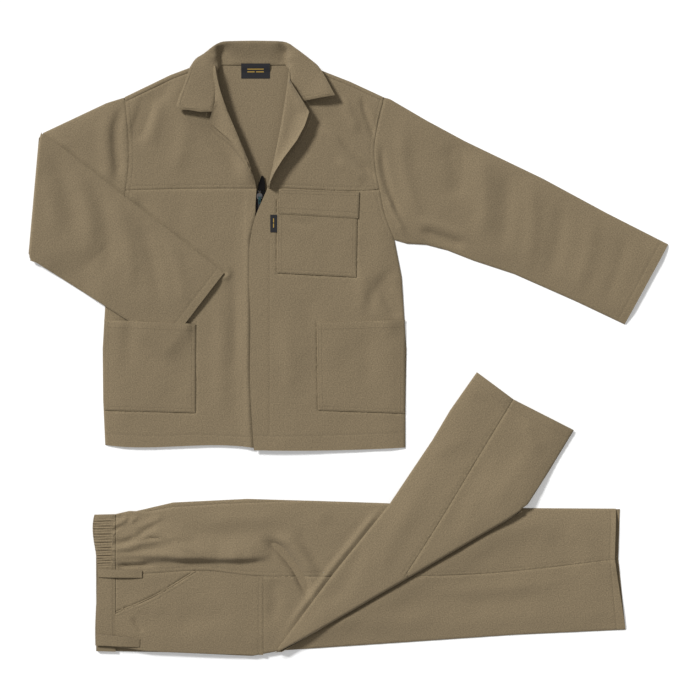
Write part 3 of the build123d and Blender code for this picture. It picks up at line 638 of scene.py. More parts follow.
def right_top(x, y):
    """Height of the upper surface of the right front, yoke and sleeve."""
    d = nearest(x, y, JACKET_EDGES)
    wrinkles = wrinkled(x, y, d, JACKET_FOLDS, least=0.12)
    z = CLOTH + edge_rise(d, 3.3) + wrinkles
    over_tape = ease((x + 212) / 10) * (1 - ease((y - 304) / 12))
    z = np.maximum(z, 6.2 * over_tape)
    from_lap = np.interp(y, LAP_EDGE[::-1, 1], LAP_EDGE[::-1, 0]) - x
    z = z + 2.8 * ease(1 - from_lap / 34) * ease((from_lap - 0.6) / 2.6) * ease((300 - y) / 60)
    from_forearm = gap(x, y, FOREARM_TOP)
    z = z + 3.0 * hump(from_forearm - 9, 6) * ease((x + 590) / 40)
    z = z + roll_lift(x, y, RIGHT_ROLL, 13.5) * ease(d / 8)
    z = np.maximum(z, CLOTH + 1.1 * ease(d / 8))
    covered = ease(-signed(x, y, LOOPS["right_lower_sleeve"]) / 8 + 1)
    return np.where(covered > 0, np.minimum(z, UNDER_FOREARM + 4 * (1 - covered)), z)


def left_top(x, y):
    """Height of the left front, which laps over the right one, and of the yoke and sleeve beside it."""
    d = nearest(x, y, JACKET_EDGES)
    wrinkles = wrinkled(x, y, d, JACKET_FOLDS, least=0.12)
    lap = 3.2 * (1 - ease((x + 130) / 170))
    lap = lap + roll_lift(x, y, LEFT_ROLL, 3.0) * ease(d / 8)
    return np.maximum(CLOTH + edge_rise(d, 3.5) + lap + wrinkles, CLOTH + 1.1 * ease(d / 8))


def on_jacket(below, lift, seams=(), rows=()):
    """A surface that lies a certain height above the right or left side of the jacket."""
    def place(x, y):
        return x, y, np.maximum(below(x, y) + lift + grooves(x, y, seams, rows), CLOTH)
    return place


def surface(height, seams=(), rows=()):
    """A surface at a height, with its seams and rows of stitching."""
    return lambda x, y: (x, y, height(x, y) + grooves(x, y, seams, rows))


def armhole_stitches(side, line):
    """Two rows beside an armhole, to the left of the line for side 1 and to the right for -1."""
    return [offset(line, side * k) for k in (1.8, 8.0)]


RIGHT_STITCHES = [*armhole_stitches(1, RIGHT_ARMHOLE[:-2]), offset(RIGHT_YOKE_SEAM, 2.0),
                  offset(RIGHT_YOKE_SEAM, 8.0), offset(RIGHT_HEM, 22)]
LEFT_STITCHES = [*armhole_stitches(-1, LEFT_ARMHOLE[:-2]), offset(LEFT_YOKE_SEAM, -2.0),
                 offset(LEFT_YOKE_SEAM, -8.0), offset(LEFT_HEM, 29),
                 np.array([(-157, 213), (-157, -166)])]
right_surface = on_jacket(right_top, 0, SEAMS_RIGHT, RIGHT_STITCHES)
left_surface = on_jacket(left_top, 0, SEAMS_LEFT, LEFT_STITCHES)


def edge_rows(lines):
    """Rows of points just inside the folded edges, where the cloth turns down."""
    return [offset(resample(line, 8), side * k)
            for line in lines for side in (-1, 1) for k in (0.9, 2.2, 5.0)]


def groove_rows(lines):
    """Rows of points along the middle and both sides of a seam or a row of stitching."""
    return [offset(line, k) if k else line for line in lines for k in (-GROOVE, 0, GROOVE)]


def guides(edges, lines):
    """Rows of points along folded edges and along seams and stitching."""
    return [*edge_rows(edges), *groove_rows(lines)]


def sewn(lines, place):
    """Rows of stitches on one surface, as threads takes them."""
    return [(line, place) for line in lines]


def declare(piece, body=None, node=None):
    if node:
        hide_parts(node)
    if body:
        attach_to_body(piece, body)
    return piece


def floor_layer(x, y):
    """A layer of cloth flat on the floor."""
    return x, y, np.full(np.shape(x), CLOTH)


def lower_layer(base):
    """The lower layer of a tube that lies on the surface base."""
    return lambda x, y: (x, y, base(x, y) + CLOTH)


def inset(loop, distance, edges):
    """The outline drawn in a little along its folded edges, so that the upper layer covers it."""
    loop = resample(loop, 12, loop=True)
    ring = np.vstack([loop[-1:], loop, loop[:1]])
    drawn_in = offset(ring, distance)[1:-1]
    if signed(*drawn_in.T, loop).mean() > 0:
        drawn_in = offset(ring, -distance)[1:-1]
    return np.where((nearest(*loop.T, edges) < 0.6)[:, None], drawn_in, loop)


# ---- jacket ------------------------------------------------------------------------------
def jacket_piece(node, place, seams):
    """One cloth of the jacket's front, with its seams and rows of stitching."""
    piece = sheet(node + ".cloth", LOOPS[node], place, grain=LENGTHWISE,
                  rows=[*guides([*JACKET_EDGES, RIGHT_ROLL, LEFT_ROLL], seams),
                        *[LAP_EDGE - (k, 0) for k in (0.6, 3.2)]])
    return declare(piece, "jacket", node=node)


for node in ("back_panel", "back_yoke"):
    back = sheet(node + ".cloth", inset(LOOPS[node], TUCK, JACKET_EDGES), floor_layer, grid=COARSE,
                 grain=LENGTHWISE)
    declare(back, "jacket", node=node)
for node in ("right_front", "right_front_yoke"):
    jacket_piece(node, right_surface, [*SEAMS_RIGHT, *RIGHT_STITCHES])
for node in ("left_front", "left_front_yoke"):
    jacket_piece(node, left_surface, [*SEAMS_LEFT, *LEFT_STITCHES])

# Sleeves. The left one is one length of cloth that bends at its fold; the right one turns there
left_sleeve_loop = np.vstack([LEFT_SLEEVE_TOP, LEFT_SLEEVE_UNDER[::-1], offset(LEFT_ARMHOLE, -3.5)[::-1]])
BODY_LEFT = np.vstack([[(-160, 500)], LEFT_ARMHOLE, [(-160, 200)]])
cuff_stitch = offset(LEFT_CUFF, 16)
LEFT_FOLD = np.array([(224.0, 405.0), (241.0, 172.0)])
TOWARDS_CUFF = right_of(LEFT_FOLD[::-1])
bend_rows = [LEFT_FOLD + TOWARDS_CUFF * k for k in (-9, -6, -3, 0, 3, 6, 9)]


def bend_left(piece):
    """Hide the sleeve's two CAD parts and bake the piece's placing into its mesh."""
    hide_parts("left_upper_sleeve", "left_lower_sleeve")
    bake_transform(piece)


def sleeve_head(x, y):
    """The sleeve's top edge runs under the front and yoke that it is sewn to."""
    under = 1.1 * ease(gap(x, y, LEFT_ARMHOLE) / 1.5) * inside(x, y, BODY_LEFT)
    z = left_top(x, y) - under + grooves(x, y, [LEFT_ARMHOLE], [cuff_stitch])
    return x, y, np.maximum(z, CLOTH)


upper = sheet("left_sleeve.upper", left_sleeve_loop, sleeve_head, grain=LEFT_SLEEVE_GRAIN,
              rows=[*guides(LEFT_SLEEVE_EDGES, [LEFT_ARMHOLE, cuff_stitch]), *bend_rows])
lower = sheet("left_sleeve.lower", inset(left_sleeve_loop, TUCK, LEFT_SLEEVE_EDGES), floor_layer,
              grid=COARSE, grain=LEFT_SLEEVE_GRAIN, rows=bend_rows)
for piece in (upper, lower):
    declare(piece)
    bend_left(piece)


def forearm_base(x, y):
    """Underside of the folded right forearm. It sinks towards the floor beyond the jacket's edge."""
    out = signed(x, y, JACKET_LOOP)
    from_fold = gap(x, y, RIGHT_FOLD)
    return FOLDED_LOW - 4.4 * ease(out / 55) * ease(from_fold / 70)


FOREARM_FOLDS = [
    ([(-590, 380), (-560, 330), (-540, 260), (-545, 210)], 16, -0.9),
    ([(-560, 370), (-520, 310), (-505, 230), (-520, 170)], 15, 0.8),
    ([(-510, 330), (-480, 270), (-470, 190), (-480, 130)], 15, -0.9),
    ([(-470, 300), (-440, 240), (-425, 160), (-430, 100)], 14, 0.7),
    ([(-420, 270), (-395, 210), (-375, 130), (-372, 70)], 14, -0.8),
    ([(-370, 230), (-340, 180), (-325, 110), (-330, 70)], 13, 0.6),
    ([(-610, 330), (-580, 290), (-572, 220)], 14, 0.6),
]
FOREARM_EDGES = [FOREARM_TOP, FOREARM_UNDER]
RIGHT_CUFF_STITCH = offset(RIGHT_CUFF, 16)


def forearm_top(x, y):
    """Height of the upper surface of the folded forearm, which is pressed flat at the pocket."""
    d = nearest(x, y, FOREARM_EDGES)
    tucked = ease((110 - y) / 70) * ease((x + 470) / 60)
    rise = edge_rise(d, 3.6 * (1 - 0.75 * tucked))
    wrinkles = wrinkled(x, y, d, FOREARM_FOLDS, 5.0)
    return (forearm_base(x, y) + 2 * CLOTH + rise + wrinkles * (1 - 0.8 * tucked)
            + grooves(x, y, rows=[RIGHT_CUFF_STITCH]))


def turn_at(line, height_at, axis):
    """Carry a surface round a fold: beyond the line it goes a quarter turn down to the axis."""
    outward = right_of(line)

    def place(x, y):
        u = beyond(x, y, line)
        turn = np.clip(u / ARC, 0, 1) * math.pi / 2
        fx, fy = x - np.maximum(u, 0) * outward[0], y - np.maximum(u, 0) * outward[1]
        z = height_at(fx, fy)
        reach = np.minimum(NOSE, np.abs(z - axis) + 0.4)
        shift = np.where(u > 0, reach * np.sin(turn), 0)
        return (fx + shift * outward[0], fy + shift * outward[1],
                np.where(u > 0, axis + (z - axis) * np.cos(turn), z))
    return place


def turned_loop(loop, line):
    """The outline with a strip added beyond its fold line, to go round the turn."""
    made = resample(loop, 12, loop=True)
    made[gap(*made.T, line) < 0.8] += right_of(line) * ARC
    return made


def turn_rows(line):
    """Rows of points round the turn at a fold."""
    return [np.array(line) + right_of(line) * ARC * k / 6 for k in range(6)]


def turned_under(name, loop, edges, line, height_at, axis, grid, grain):
    """The lower layer before a fold. It faces down, so it is meshed mirrored to turn its faces over."""
    place = turn_at(line, height_at, axis)
    loop = turned_loop(inset(loop, TUCK, edges), line)
    return sheet(name, loop * (-1, 1), lambda x, y: place(-x, y), grid=grid, grain=grain,
                 rows=[row * (-1, 1) for row in turn_rows(line)])


def blend_round(piece):
    """Bake the piece's placing into its mesh."""
    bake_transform(piece)


forearm = sheet("right_forearm.upper", turned_loop(LOOPS["right_lower_sleeve"], RIGHT_FOLD),
                turn_at(RIGHT_FOLD, forearm_top, SLEEVE_AXIS), grain=FOREARM_GRAIN,
                rows=[*guides(FOREARM_EDGES, [RIGHT_CUFF_STITCH]), *turn_rows(RIGHT_FOLD)])
forearm_under = sheet("right_forearm.lower", inset(LOOPS["right_lower_sleeve"], TUCK, FOREARM_EDGES),
                      lower_layer(forearm_base), grid=COARSE, grain=FOREARM_GRAIN)
upper_arm = sheet("right_upper_sleeve.upper", LOOPS["right_upper_sleeve"],
                  on_jacket(right_top, 0, [RIGHT_ARMHOLE]), grain=UPPER_ARM_GRAIN,
                  rows=guides(RIGHT_SLEEVE_EDGES, [RIGHT_ARMHOLE]))
upper_arm_under = turned_under("right_upper_sleeve.lower", LOOPS["right_upper_sleeve"], RIGHT_SLEEVE_EDGES,
                               RIGHT_FOLD, lambda x, y: np.zeros(np.shape(x)), SLEEVE_AXIS, 6,
                               UPPER_ARM_GRAIN)
declare(upper_arm, "jacket", node="right_upper_sleeve")
declare(upper_arm_under)
declare(forearm, node="right_lower_sleeve")
declare(forearm_under, "right_forearm")
blend_round(forearm)
blend_round(upper_arm_under)

# Lapels
LAPEL_FREE = {
    "right_lapel": curve([(-182, 312), (-199, 360), (-232, 404), (-273, 441), (-262, 480)]),
    "left_lapel": curve([(-160, 314), (-147, 341), (-129, 369), (-103, 404), (-88, 432), (-79, 459),
                         (-93, 482), (-117, 520)])}


def lapel_surface(below, roll, free, stand, bead):
    """A lapel lies on the front, and stands off it towards its free edge, where it has a rolled rim."""
    def place(x, y):
        from_roll, from_free = gap(x, y, roll), gap(x, y, free)
        share = from_roll / np.maximum(from_roll + from_free, 1e-6)
        z = (below(x, y) + 1.3 + edge_rise(from_roll, 1.6, 14, 2.4) + stand * share ** 3
             - 0.6 * np.clip(1 - np.abs(from_free - 6) / 1.6, 0, 1) * ease((from_roll - 8) / 6)
             - bead * (1 - ease(from_free / 2.2)) + 0.5 * ripple(x, y, 40, 1.2))
        return x, y, np.minimum(z, LAPEL_HEIGHT + 0.15 * (z - LAPEL_HEIGHT))
    return place


LAPEL_SURFACES = {
    "right_lapel": lapel_surface(right_top, RIGHT_ROLL, LAPEL_FREE["right_lapel"], 5.5, 1.3),
    "left_lapel": lapel_surface(left_top, LEFT_ROLL, LAPEL_FREE["left_lapel"], 14, 0.0)}
for side, roll in (("right", RIGHT_ROLL), ("left", LEFT_ROLL)):
    node = side + "_lapel"
    free = LAPEL_FREE[node]
    piece = sheet(node + ".cloth", LOOPS[node], LAPEL_SURFACES[node], grid=3.2, thickness=1.1,
                  rows=[*edge_rows([roll]), *[offset(free, k) for k in (-6, -2.5, -1.2, 1.2, 2.5, 6)]],
                  grain=1.2)
    declare(piece, "jacket", node=node)

# Collar: heights are set at a few points and spread smoothly between them
COLLAR = np.vstack([
    curve([(-311, 548), (-300, 564), (-284, 574), (-266, 588), (-252, 596), (-236, 598), (-190, 599),
           (-140, 598), (-122, 595), (-108, 586), (-75, 561), (-57, 543), (-29, 492)]),
    [(-60, 487), (-93, 481), (-118, 521), (-117, 542), (-126, 554), (-190, 553), (-251, 554), (-258, 540),
     (-254, 515), (-268, 461)], curve([(-290, 460), (-314, 464), (-337, 469), (-324, 510)])])
# The band inside the neck, between the two turned-down leaves
BAND = np.array([(-261, 589), (-257, 560), (-255, 530), (-117, 530), (-118, 560), (-120, 586), (-131, 592),
                 (-190, 593), (-249, 592)], float)
BAND_SIDES = (-257, -118)
COLLAR_HEIGHTS = np.array([
    (-262, 588, 15), (-300, 564, 13), (-311, 548, 14), (-325, 510, 15), (-337, 469, 19), (-310, 464, 20),
    (-290, 460, 19), (-268, 461, 17), (-258, 490, 13.5), (-254, 515, 14), (-258, 545, 14.5), (-262, 568, 15),
    (-251, 560, 4.5), (-252, 575, 5), (-246, 588, 8), (-246, 553, 3.2), (-190, 551, 2.4), (-131, 553, 3.4),
    (-128, 562, 6), (-128, 576, 7), (-130, 589, 10), (-117, 565, 16), (-117, 545, 15), (-118, 521, 15.5),
    (-93, 481, 17), (-60, 487, 23), (-29, 492, 24), (-57, 543, 18), (-75, 561, 17), (-118, 592, 16.5),
    (-140, 597, 15), (-190, 598, 14), (-240, 597, 15), (-290, 520, 14.5), (-275, 490, 14), (-190, 572, 6),
    (-225, 572, 6), (-155, 572, 6), (-190, 587, 10.5), (-225, 587, 10.5), (-155, 587, 10.5), (-80, 530, 18),
    (-95, 510, 17), (-100, 570, 17.5), (-280, 555, 16), (-275, 575, 15)], float)


def spread(points):
    """A smooth surface through points with heights."""
    p = points[:, :2]
    apart = np.hypot(*(p[:, None] - p[None]).transpose(2, 0, 1))
    n = len(p)
    system = np.zeros((n + 3, n + 3))
    system[:n, :n] = apart
    system[:n, n:] = np.hstack([np.ones((n, 1)), p / 100])
    system[n:, :n] = system[:n, n:].T
    weight = np.linalg.solve(system, np.concatenate([points[:, 2], np.zeros(3)]))

    def height(x, y):
        z = weight[n] + weight[n + 1] * x / 100 + weight[n + 2] * y / 100
        for (px, py), w in zip(p, weight):
            z = z + w * np.hypot(x - px, y - py)
        return z
    return height


collar_height = spread(COLLAR_HEIGHTS)
collar_stitch = [np.array([(-306, 545), (-329, 475), (-290, 467), (-270, 468)]),
                 np.array([(-94, 489), (-60, 494), (-38, 497), (-61, 540)])]


def collar_surface(drop):
    """The collar's surface, or one that lies below it by a drop."""
    def place(x, y):
        border = gap(x, y, closed(COLLAR))
        roll = 1.4 * (1 - ease(border / 4))
        beside = np.min([np.abs(x - side) for side in BAND_SIDES], axis=0)
        hollow = 6.0 * ease(-signed(x, y, BAND) / 4) * hump(beside, 15)
        hollow = hollow * (1 - ease((y - 578) / 16))
        z = collar_height(x, y) - hollow - roll + 0.5 * ripple(x, y, 26) + grooves(x, y, rows=collar_stitch)
        return x, y, np.maximum(z, 2.2) - drop
    return place


collar_rows = [*[offset(closed(COLLAR), k) for k in (-4, -1.8, 1.8, 4)],
               *[offset(BAND, k) for k in (-4.5, -2, 0, 2, 4.5)]]
top_collar = sheet("top_collar.cloth", COLLAR, collar_surface(0), grid=3.2, thickness=0.9,
                   rows=[*collar_rows, *groove_rows(collar_stitch)], grain=0.3)
under_collar = sheet("under_collar.cloth", inset(COLLAR, 1.5, [closed(COLLAR)]),
                     collar_surface(1.3), grid=5, thickness=0.7, rows=collar_rows, grain=0.3)
for node, piece in (("top_collar", top_collar), ("under_collar", under_collar)):
    declare(piece, "jacket", node=node)

# Pockets, flap and tabs
FLAP = np.array([(-138, 263), (16, 254), (18, 306), (-138, 311)], float)
TUCKED = np.array([(-430, 54), (-354, 6), (-317, 51)], float)


def patch_surface(below, loop, lift, bulge):
    """A patch lies just above the jacket: its sewn edges turn down to it."""
    def place(x, y):
        border = gap(x, y, closed(loop))
        z = below(x, y) + lift + bulge(x, y) - 0.5 * (1 - ease(border / 2.5))
        return x, y, z + 0.35 * ripple(x, y, 30, 1.2, 1.5, 3.0)
    return place


def right_bulge(x, y):
    """The right hip pocket stands over the corner of the cuff tucked into it."""
    over = hump(np.maximum(signed(x, y, TUCKED), 0), 22)
    sewn = nearest(x, y, [RIGHT_HIP[[3, 0]], RIGHT_HIP[[1, 2]]])
    return over * 5.6 * (0.25 + 0.75 * ease(sewn / 16))


def left_bulge(x, y):
    """The left hip pocket gapes at one end of its mouth."""
    return 3.4 * mound(x, y, (76, 57), 20, 24)


def no_bulge(x, y):
    """A patch that lies flat."""
    return 0.0


def patch_edges(loop, mouth=None, rows=(2.0, 8.0)):
    """Rows of stitching inside a patch's sewn edges. The mouth is the edge that is left open."""
    made = []
    for k in range(len(loop)):
        if k != mouth:
            for inset_by in rows:
                a, b = loop[k], loop[(k + 1) % len(loop)]
                run = (b - a) / math.hypot(*(b - a))
                left = np.array([-run[1], run[0]])
                made.append(np.array([a + left * inset_by + run * 3, b + left * inset_by - run * 3]))
    return made


HIP_RIGHT_STITCH = [*patch_edges(RIGHT_HIP, 2), np.array([(-476, 43), (-303, 36)])]
HIP_LEFT_STITCH = [*patch_edges(LEFT_HIP, 2), np.array([(-62, 38), (105, 43)])]
CHEST_STITCH = patch_edges(CHEST, 2)
FLAP_STITCH = [*patch_edges(FLAP, None, (2.2,)), np.array([(-136, 275), (14, 266)]),
               np.array([(-136, 303), (16, 298)])]
PATCHES = {
    "chest_pocket": (CHEST, patch_surface(left_top, CHEST, 1.3, no_bulge), CHEST_STITCH, "jacket"),
    "right_hip_pocket": (RIGHT_HIP, patch_surface(right_top, RIGHT_HIP, 1.3, right_bulge),
                         HIP_RIGHT_STITCH, "jacket"),
    "left_hip_pocket": (LEFT_HIP, patch_surface(left_top, LEFT_HIP, 1.3, left_bulge),
                        HIP_LEFT_STITCH, "jacket"),
    "chest_flap": (FLAP, patch_surface(left_top, FLAP, 2.6, no_bulge), FLAP_STITCH, "chest_flap"),
}
patch_pieces = {}
for node, (loop, place, stitch, body) in PATCHES.items():
    piece = sheet(node + ".cloth", loop, place, grid=4, thickness=0.8, grain=LENGTHWISE,
                  rows=[*groove_rows(stitch), *[offset(closed(loop), k) for k in (1.2, 2.5)]])
    declare(piece, body, node=node)
    patch_pieces[node] = piece
pocket_threads = threads("right_hip_pocket.stitches",
                         sewn(HIP_RIGHT_STITCH, PATCHES["right_hip_pocket"][1]), "jacket")
for piece in (patch_pieces["right_hip_pocket"], pocket_threads):
    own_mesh(piece)
threads("chest_flap.stitches", sewn(FLAP_STITCH, PATCHES["chest_flap"][1]), "chest_flap")


def rectangle(x0, y0, x1, y1):
    """The outline of an upright rectangle, from two opposite corners."""
    return np.array([(x0, y0), (x1, y0), (x1, y1), (x0, y1)], float)


def in_the_neck(lift):
    """A surface above the inside of the back, which rises towards the collar's band."""
    return lambda x, y: (x, y, CLOTH + lift + ease((y - 538) / 12) * 2.6)


neck_label = sheet("neck_label.cloth", rectangle(-212, 527, -156, 556), in_the_neck(0.5), grid=4,
                   thickness=0.4, material="label_cloth")
MARKS = [("neck_label.mark", in_the_neck(0.65),
          [(-200, 539, -186, 541), (-183, 539, -168, 541), (-200, 544, -168, 546)]),
         ("side_tab.mark", on_jacket(left_top, 1.05),
          [(-149.5, 236, -147.8, 244), (-149.5, 246, -147.8, 254)])]
declare(neck_label, "jacket", "neck_label")
side_tab = sheet("side_tab.cloth", rectangle(-155, 227, -142, 261), on_jacket(left_top, 0.9), grid=4,
                 thickness=0.5, material="label_cloth")
declare(side_tab, "jacket", "side_tab")
for name, place, bars in MARKS:
    for number, bar in enumerate(bars):
        mark = sheet(f"{name}{number}", rectangle(*bar), place, grid=4, thickness=0.2, material="gold_thread")
        attach(mark, "jacket")

# The tape ends in the slit above the slider: partly the black zip tape, partly a near-black sheet that paints
# the deep shade of the slit
tape_end_and_painted_shade = sheet("zip_tape_ends.cloth", np.array([(-180, 309), (-166, 309), (-165, 318), (-168, 336),
                                                 (-172, 338), (-178, 322)], float),
                 lambda x, y: (x, y, 3.4 + 0.9 * ease((y - 312) / 26) + 0.6 * np.abs((x + 172) / 8)),
                 grid=3, thickness=0.5, material="tape")
declare(tape_end_and_painted_shade, "jacket")
threads("jacket.stitches", [
    *sewn(RIGHT_STITCHES, right_surface),
    *sewn(LEFT_STITCHES, left_surface),
    *sewn(HIP_LEFT_STITCH, PATCHES["left_hip_pocket"][1]),
    *sewn(CHEST_STITCH, PATCHES["chest_pocket"][1]),
    *sewn(collar_stitch, collar_surface(0)),
    (offset(LAPEL_FREE["left_lapel"], -6)[3:-3], LAPEL_SURFACES["left_lapel"]),
    (offset(LAPEL_FREE["right_lapel"], 6)[3:-3], LAPEL_SURFACES["right_lapel"]),
], "jacket")
threads("left_cuff.stitches", [(cuff_stitch, on_jacket(left_top, 0, rows=[cuff_stitch]))], "left_forearm")
threads("right_cuff.stitches", [(RIGHT_CUFF_STITCH, surface(forearm_top))], "right_forearm")

# ---- trousers ----------------------------------------------------------------------------
CREASE = [(-146, -589), (333, -309)]
RIGHT_LEG_BACK = [(526, -311), (340, -310), (0, -298), (-200, -292), (-345, -299), (-456, -325)]
RIGHT_LEG_FRONT = [(-456, -589), (-300, -592), (-190, -596), (-140, -588), (100, -572), (320, -557),
                   (537, -547)]
HIP_BACK = [(333, -309), (76, -302), (-100, -296), (-240, -301), (-345, -308), (-390, -316), (-430, -315),
            (-456, -321), (-497, -322)]
HIP_FRONT = [(-495, -574), (-456, -579), (-395, -588), (-280, -593), (-190, -597), (-146, -589)]
LEG_FRONT = [(-146, -589), (-29, -432), (76, -302), (160, -178), (195, -119), (247, -45)]
LEG_BACK = [(333, -309), (346, -301), (386, -240), (436, -158)]
LEG_HEM = [(436, -158), (318, -98), (247, -45)]
SIDE_SEAM = curve([(-456, -440), (-370, -435), (-281, -431), (-184, -441), (-45, -442), (106, -441.7)])
RIGHT_SEAM = curve([(0, -443), (106, -442), (253, -438), (400, -424), (523, -409)])
LEG_SEAM = curve([(106, -441.7), (177, -330), (244, -220), (318, -98)])
SLANT = curve([(-456, -512), (-380, -479), (-300, -431)])
HIP_LOOP = np.vstack([HIP_BACK, HIP_FRONT])
WAIST_SEAM = np.array([(-456, -321), (-456, -579)], float)

TROUSER_FOLDS = [
    ([(-462, -325), (-452, -326), (-436, -327)], 3, -1.0),
    ([(-464, -355), (-440, -345), (-420, -328)], 4, -1.6),
    ([(-464, -345), (-446, -337), (-430, -324)], 4, 1.0),
    ([(-420, -372), (-400, -355), (-370, -340)], 6, -1.2),
    ([(-466, -372), (-440, -375), (-410, -362)], 5, -1.4),
    ([(-466, -384), (-450, -384), (-420, -380), (-400, -375), (-350, -370), (-330, -380), (-280, -402)],
     6, 1.4),
    ([(-466, -396), (-430, -396), (-380, -388), (-340, -392)], 6, -0.9),
    ([(-462, -408), (-420, -408), (-365, -408), (-320, -408)], 5, -1.4),
    ([(-462, -424), (-430, -421), (-370, -419)], 5, -1.2),
    ([(-466, -416), (-430, -414), (-390, -413)], 4, 0.9),
    ([(-178, -368), (-142, -385), (-120, -408), (-98, -440), (-74, -496)], 9, -3.4),
    ([(-150, -358), (-112, -378), (-86, -410), (-60, -450)], 12, 1.7),
    ([(-104, -350), (-80, -390), (-54, -424)], 12, -0.6),
    ([(-150, -440), (-146, -490), (-152, -540)], 14, -0.8),
    ([(-424, -520), (-412, -536), (-400, -552)], 4, -1.0),
    ([(-440, -500), (-400, -500), (-350, -510)], 14, 0.5),
    ([(-350, -540), (-290, -520), (-220, -516)], 20, -0.5),
    ([(-300, -340), (-220, -330), (-120, -330)], 16, 0.6),
    ([(-60, -330), (-20, -350), (10, -390)], 14, -0.6),
    ([(120, -470), (220, -470), (330, -462), (430, -452)], 14, 0.5),
    ([(200, -500), (300, -492), (400, -486)], 20, -0.5),
    ([(380, -360), (420, -400), (440, -440)], 18, -0.6),
    ([(420, -340), (460, -380), (480, -430)], 16, 0.5),
    ([(0, -540), (80, -530), (180, -520)], 18, 0.5),
]


HIP_ROLLS = [
    ([(-460, -418, 4), (-409, -418, 8), (-370, -417, 11), (-322, -415.5, 14), (-289, -415.5, 13),
      (-257, -417, 9.5), (-224, -417, 12), (-192, -416, 9), (-152, -413, 0)], 12, 50),
    ([(-462, -398, 4), (-430, -396, 6), (-395, -396, 5), (-360, -402, 0)], 6, 18),
    ([(-462, -384, 3), (-409, -376, 5), (-387, -369, 6), (-354, -372, 6.5), (-328, -379, 6), (-306, -390, 5),
      (-280, -400, 3), (-256, -405, 0)], 8, 34),
    ([(-462, -368, 3), (-440, -352, 5), (-420, -338, 4), (-408, -330, 0)], 5, 14),
    ([(-450, -362, 0), (-400, -352, 3.5), (-375, -340, 3), (-362, -334, 0)], 6, 18),
]


def right_leg_top(x, y):
    """Height of the upper surface of the right leg, flatter where the hip lies on it."""
    d = nearest(x, y, [RIGHT_LEG_BACK, RIGHT_LEG_FRONT])
    open_part = ease((signed(x, y, HIP_LOOP) + 6) / 12)
    wrinkles = wrinkled(x, y, d, TROUSER_FOLDS, 9.0)
    past_crease = beyond(x, y, CREASE)
    held_up = 5.0 * ease((past_crease - 5) / 8) * hump(np.maximum(past_crease - 13, 0), 34)
    held_up = held_up * ease((d - 6) / 50)
    gape = 3.2 * hump(x - 524, 13) * ease((y + 440) / 20) * ease(d / 24)
    return CLOTH + edge_rise(d, 3.4) + held_up + gape + wrinkles * np.where(open_part > 0.5, open_part, 0.15)


def hip_base(x, y):
    """Underside of the left hip, which lies on the right leg."""
    return np.full(np.shape(x), FOLDED_LOW)


def gathers(x, y):
    """The elastic draws the back of the band into ridges that fade out below it."""
    wave = (np.sin(y * 2 * math.pi / 5.0 + 1.3 * np.sin(y / 17) + 0.6 * np.sin(x / 9))
            + 0.6 * np.sin(y * 2 * math.pi / 8.3 + 1.0 + 0.8 * np.sin(x / 13)))
    reach = ease((-326 - y) / 6) * ease((y + 426) / 6)
    return 0.85 * wave * reach * (1 - 0.8 * ease((x + 470) / 14)) * (1 - ease((x + 450) / 40))


def hip_top(x, y):
    """Height of the upper surface of the left hip, with the folds below its band."""
    d = nearest(x, y, [HIP_BACK, HIP_FRONT])
    wrinkles = wrinkled(x, y, d, TROUSER_FOLDS, 9.0, 0.15, 9) + gathers(x, y)
    z = hip_base(x, y) + 2 * CLOTH + edge_rise(d, 3.4) + wrinkles + rolls(x, y, HIP_ROLLS) * ease(d / 20)
    z = z + 4.0 * hump(gap(x, y, LEG_FRONT) - 9, 6) * ease((x + 140) / 60) * ease(d / 40)
    return np.where(inside(x, y, LEG_LOOP), np.minimum(z, UNDER_LEG), z)


LEG_LOOP = np.vstack([LEG_FRONT, LEG_HEM[::-1], LEG_BACK[::-1]])


def leg_base(x, y):
    """Underside of the folded leg. Beyond the hip it sinks towards the floor."""
    out = signed(x, y, HIP_LOOP)
    return LEG_LOW - 10.6 * ease((out + 26) / 150)


LEG_FOLDS = [
    ([(-60, -500), (-20, -470), (10, -420), (30, -370)], 16, -0.7),
    ([(60, -460), (70, -400), (100, -340), (140, -280)], 18, 0.6),
    ([(200, -370), (210, -310), (240, -260), (280, -200)], 18, -0.6),
    ([(150, -210), (190, -190), (240, -170)], 16, 0.5),
    ([(260, -330), (290, -280), (330, -230), (370, -180)], 18, 0.6),
    ([(230, -90), (270, -110), (300, -140)], 12, -0.5),
    ([(340, -130), (350, -170), (370, -210)], 14, 0.6),
]
LEG_HEM_STITCH = offset(np.array(LEG_HEM[::-1], float), -18)


def leg_top(x, y):
    """Height of the upper surface of the folded leg, whose hem gapes beside its seam."""
    d = nearest(x, y, [LEG_FRONT, LEG_BACK])
    gape = 1.6 * mound(x, y, (392, -132), 34, 26) + mound(x, y, (292, -80), 26, 24)
    wrinkles = wrinkled(x, y, d, LEG_FOLDS, 13.0)
    return (leg_base(x, y) + 2 * CLOTH + edge_rise(d, 3.6) + wrinkles + gape
            + grooves(x, y, rows=[LEG_HEM_STITCH]))


# Hems are drawn back a little: the right one above its seam, the left one on both sides of its seam
for node in ("right_back_leg", "right_front_leg"):
    hem = LOOPS[node]
    hem[:, 0] -= 8 * ease((hem[:, 0] - 480) / 25) * ease((hem[:, 1] + 432) / 10)
for node in ("left_front_leg", "left_back_leg"):
    hem = LOOPS[node]
    at_hem = gap(*hem.T, LEG_HEM) < 1
    share = np.where(hem[:, 0] > 330, ease((430 - hem[:, 0]) / 12) * ease((hem[:, 0] - 322) / 20),
                     ease((hem[:, 0] - 262) / 14) * ease((316 - hem[:, 0]) / 10))
    hem -= np.outer(at_hem * share * 7, (0.46, 0.89))
HEM_STITCH = np.array([(519, -547), (506, -412), (508, -312)], float)
RIGHT_ROWS = [offset(RIGHT_SEAM, 6), HEM_STITCH]
PANEL_ROWS = [np.array([(k, -443), (k, -594)], float) for k in (-169, -177)]
SLANT_ROWS = [offset(SLANT, -2.0), offset(SLANT, -8.0)]
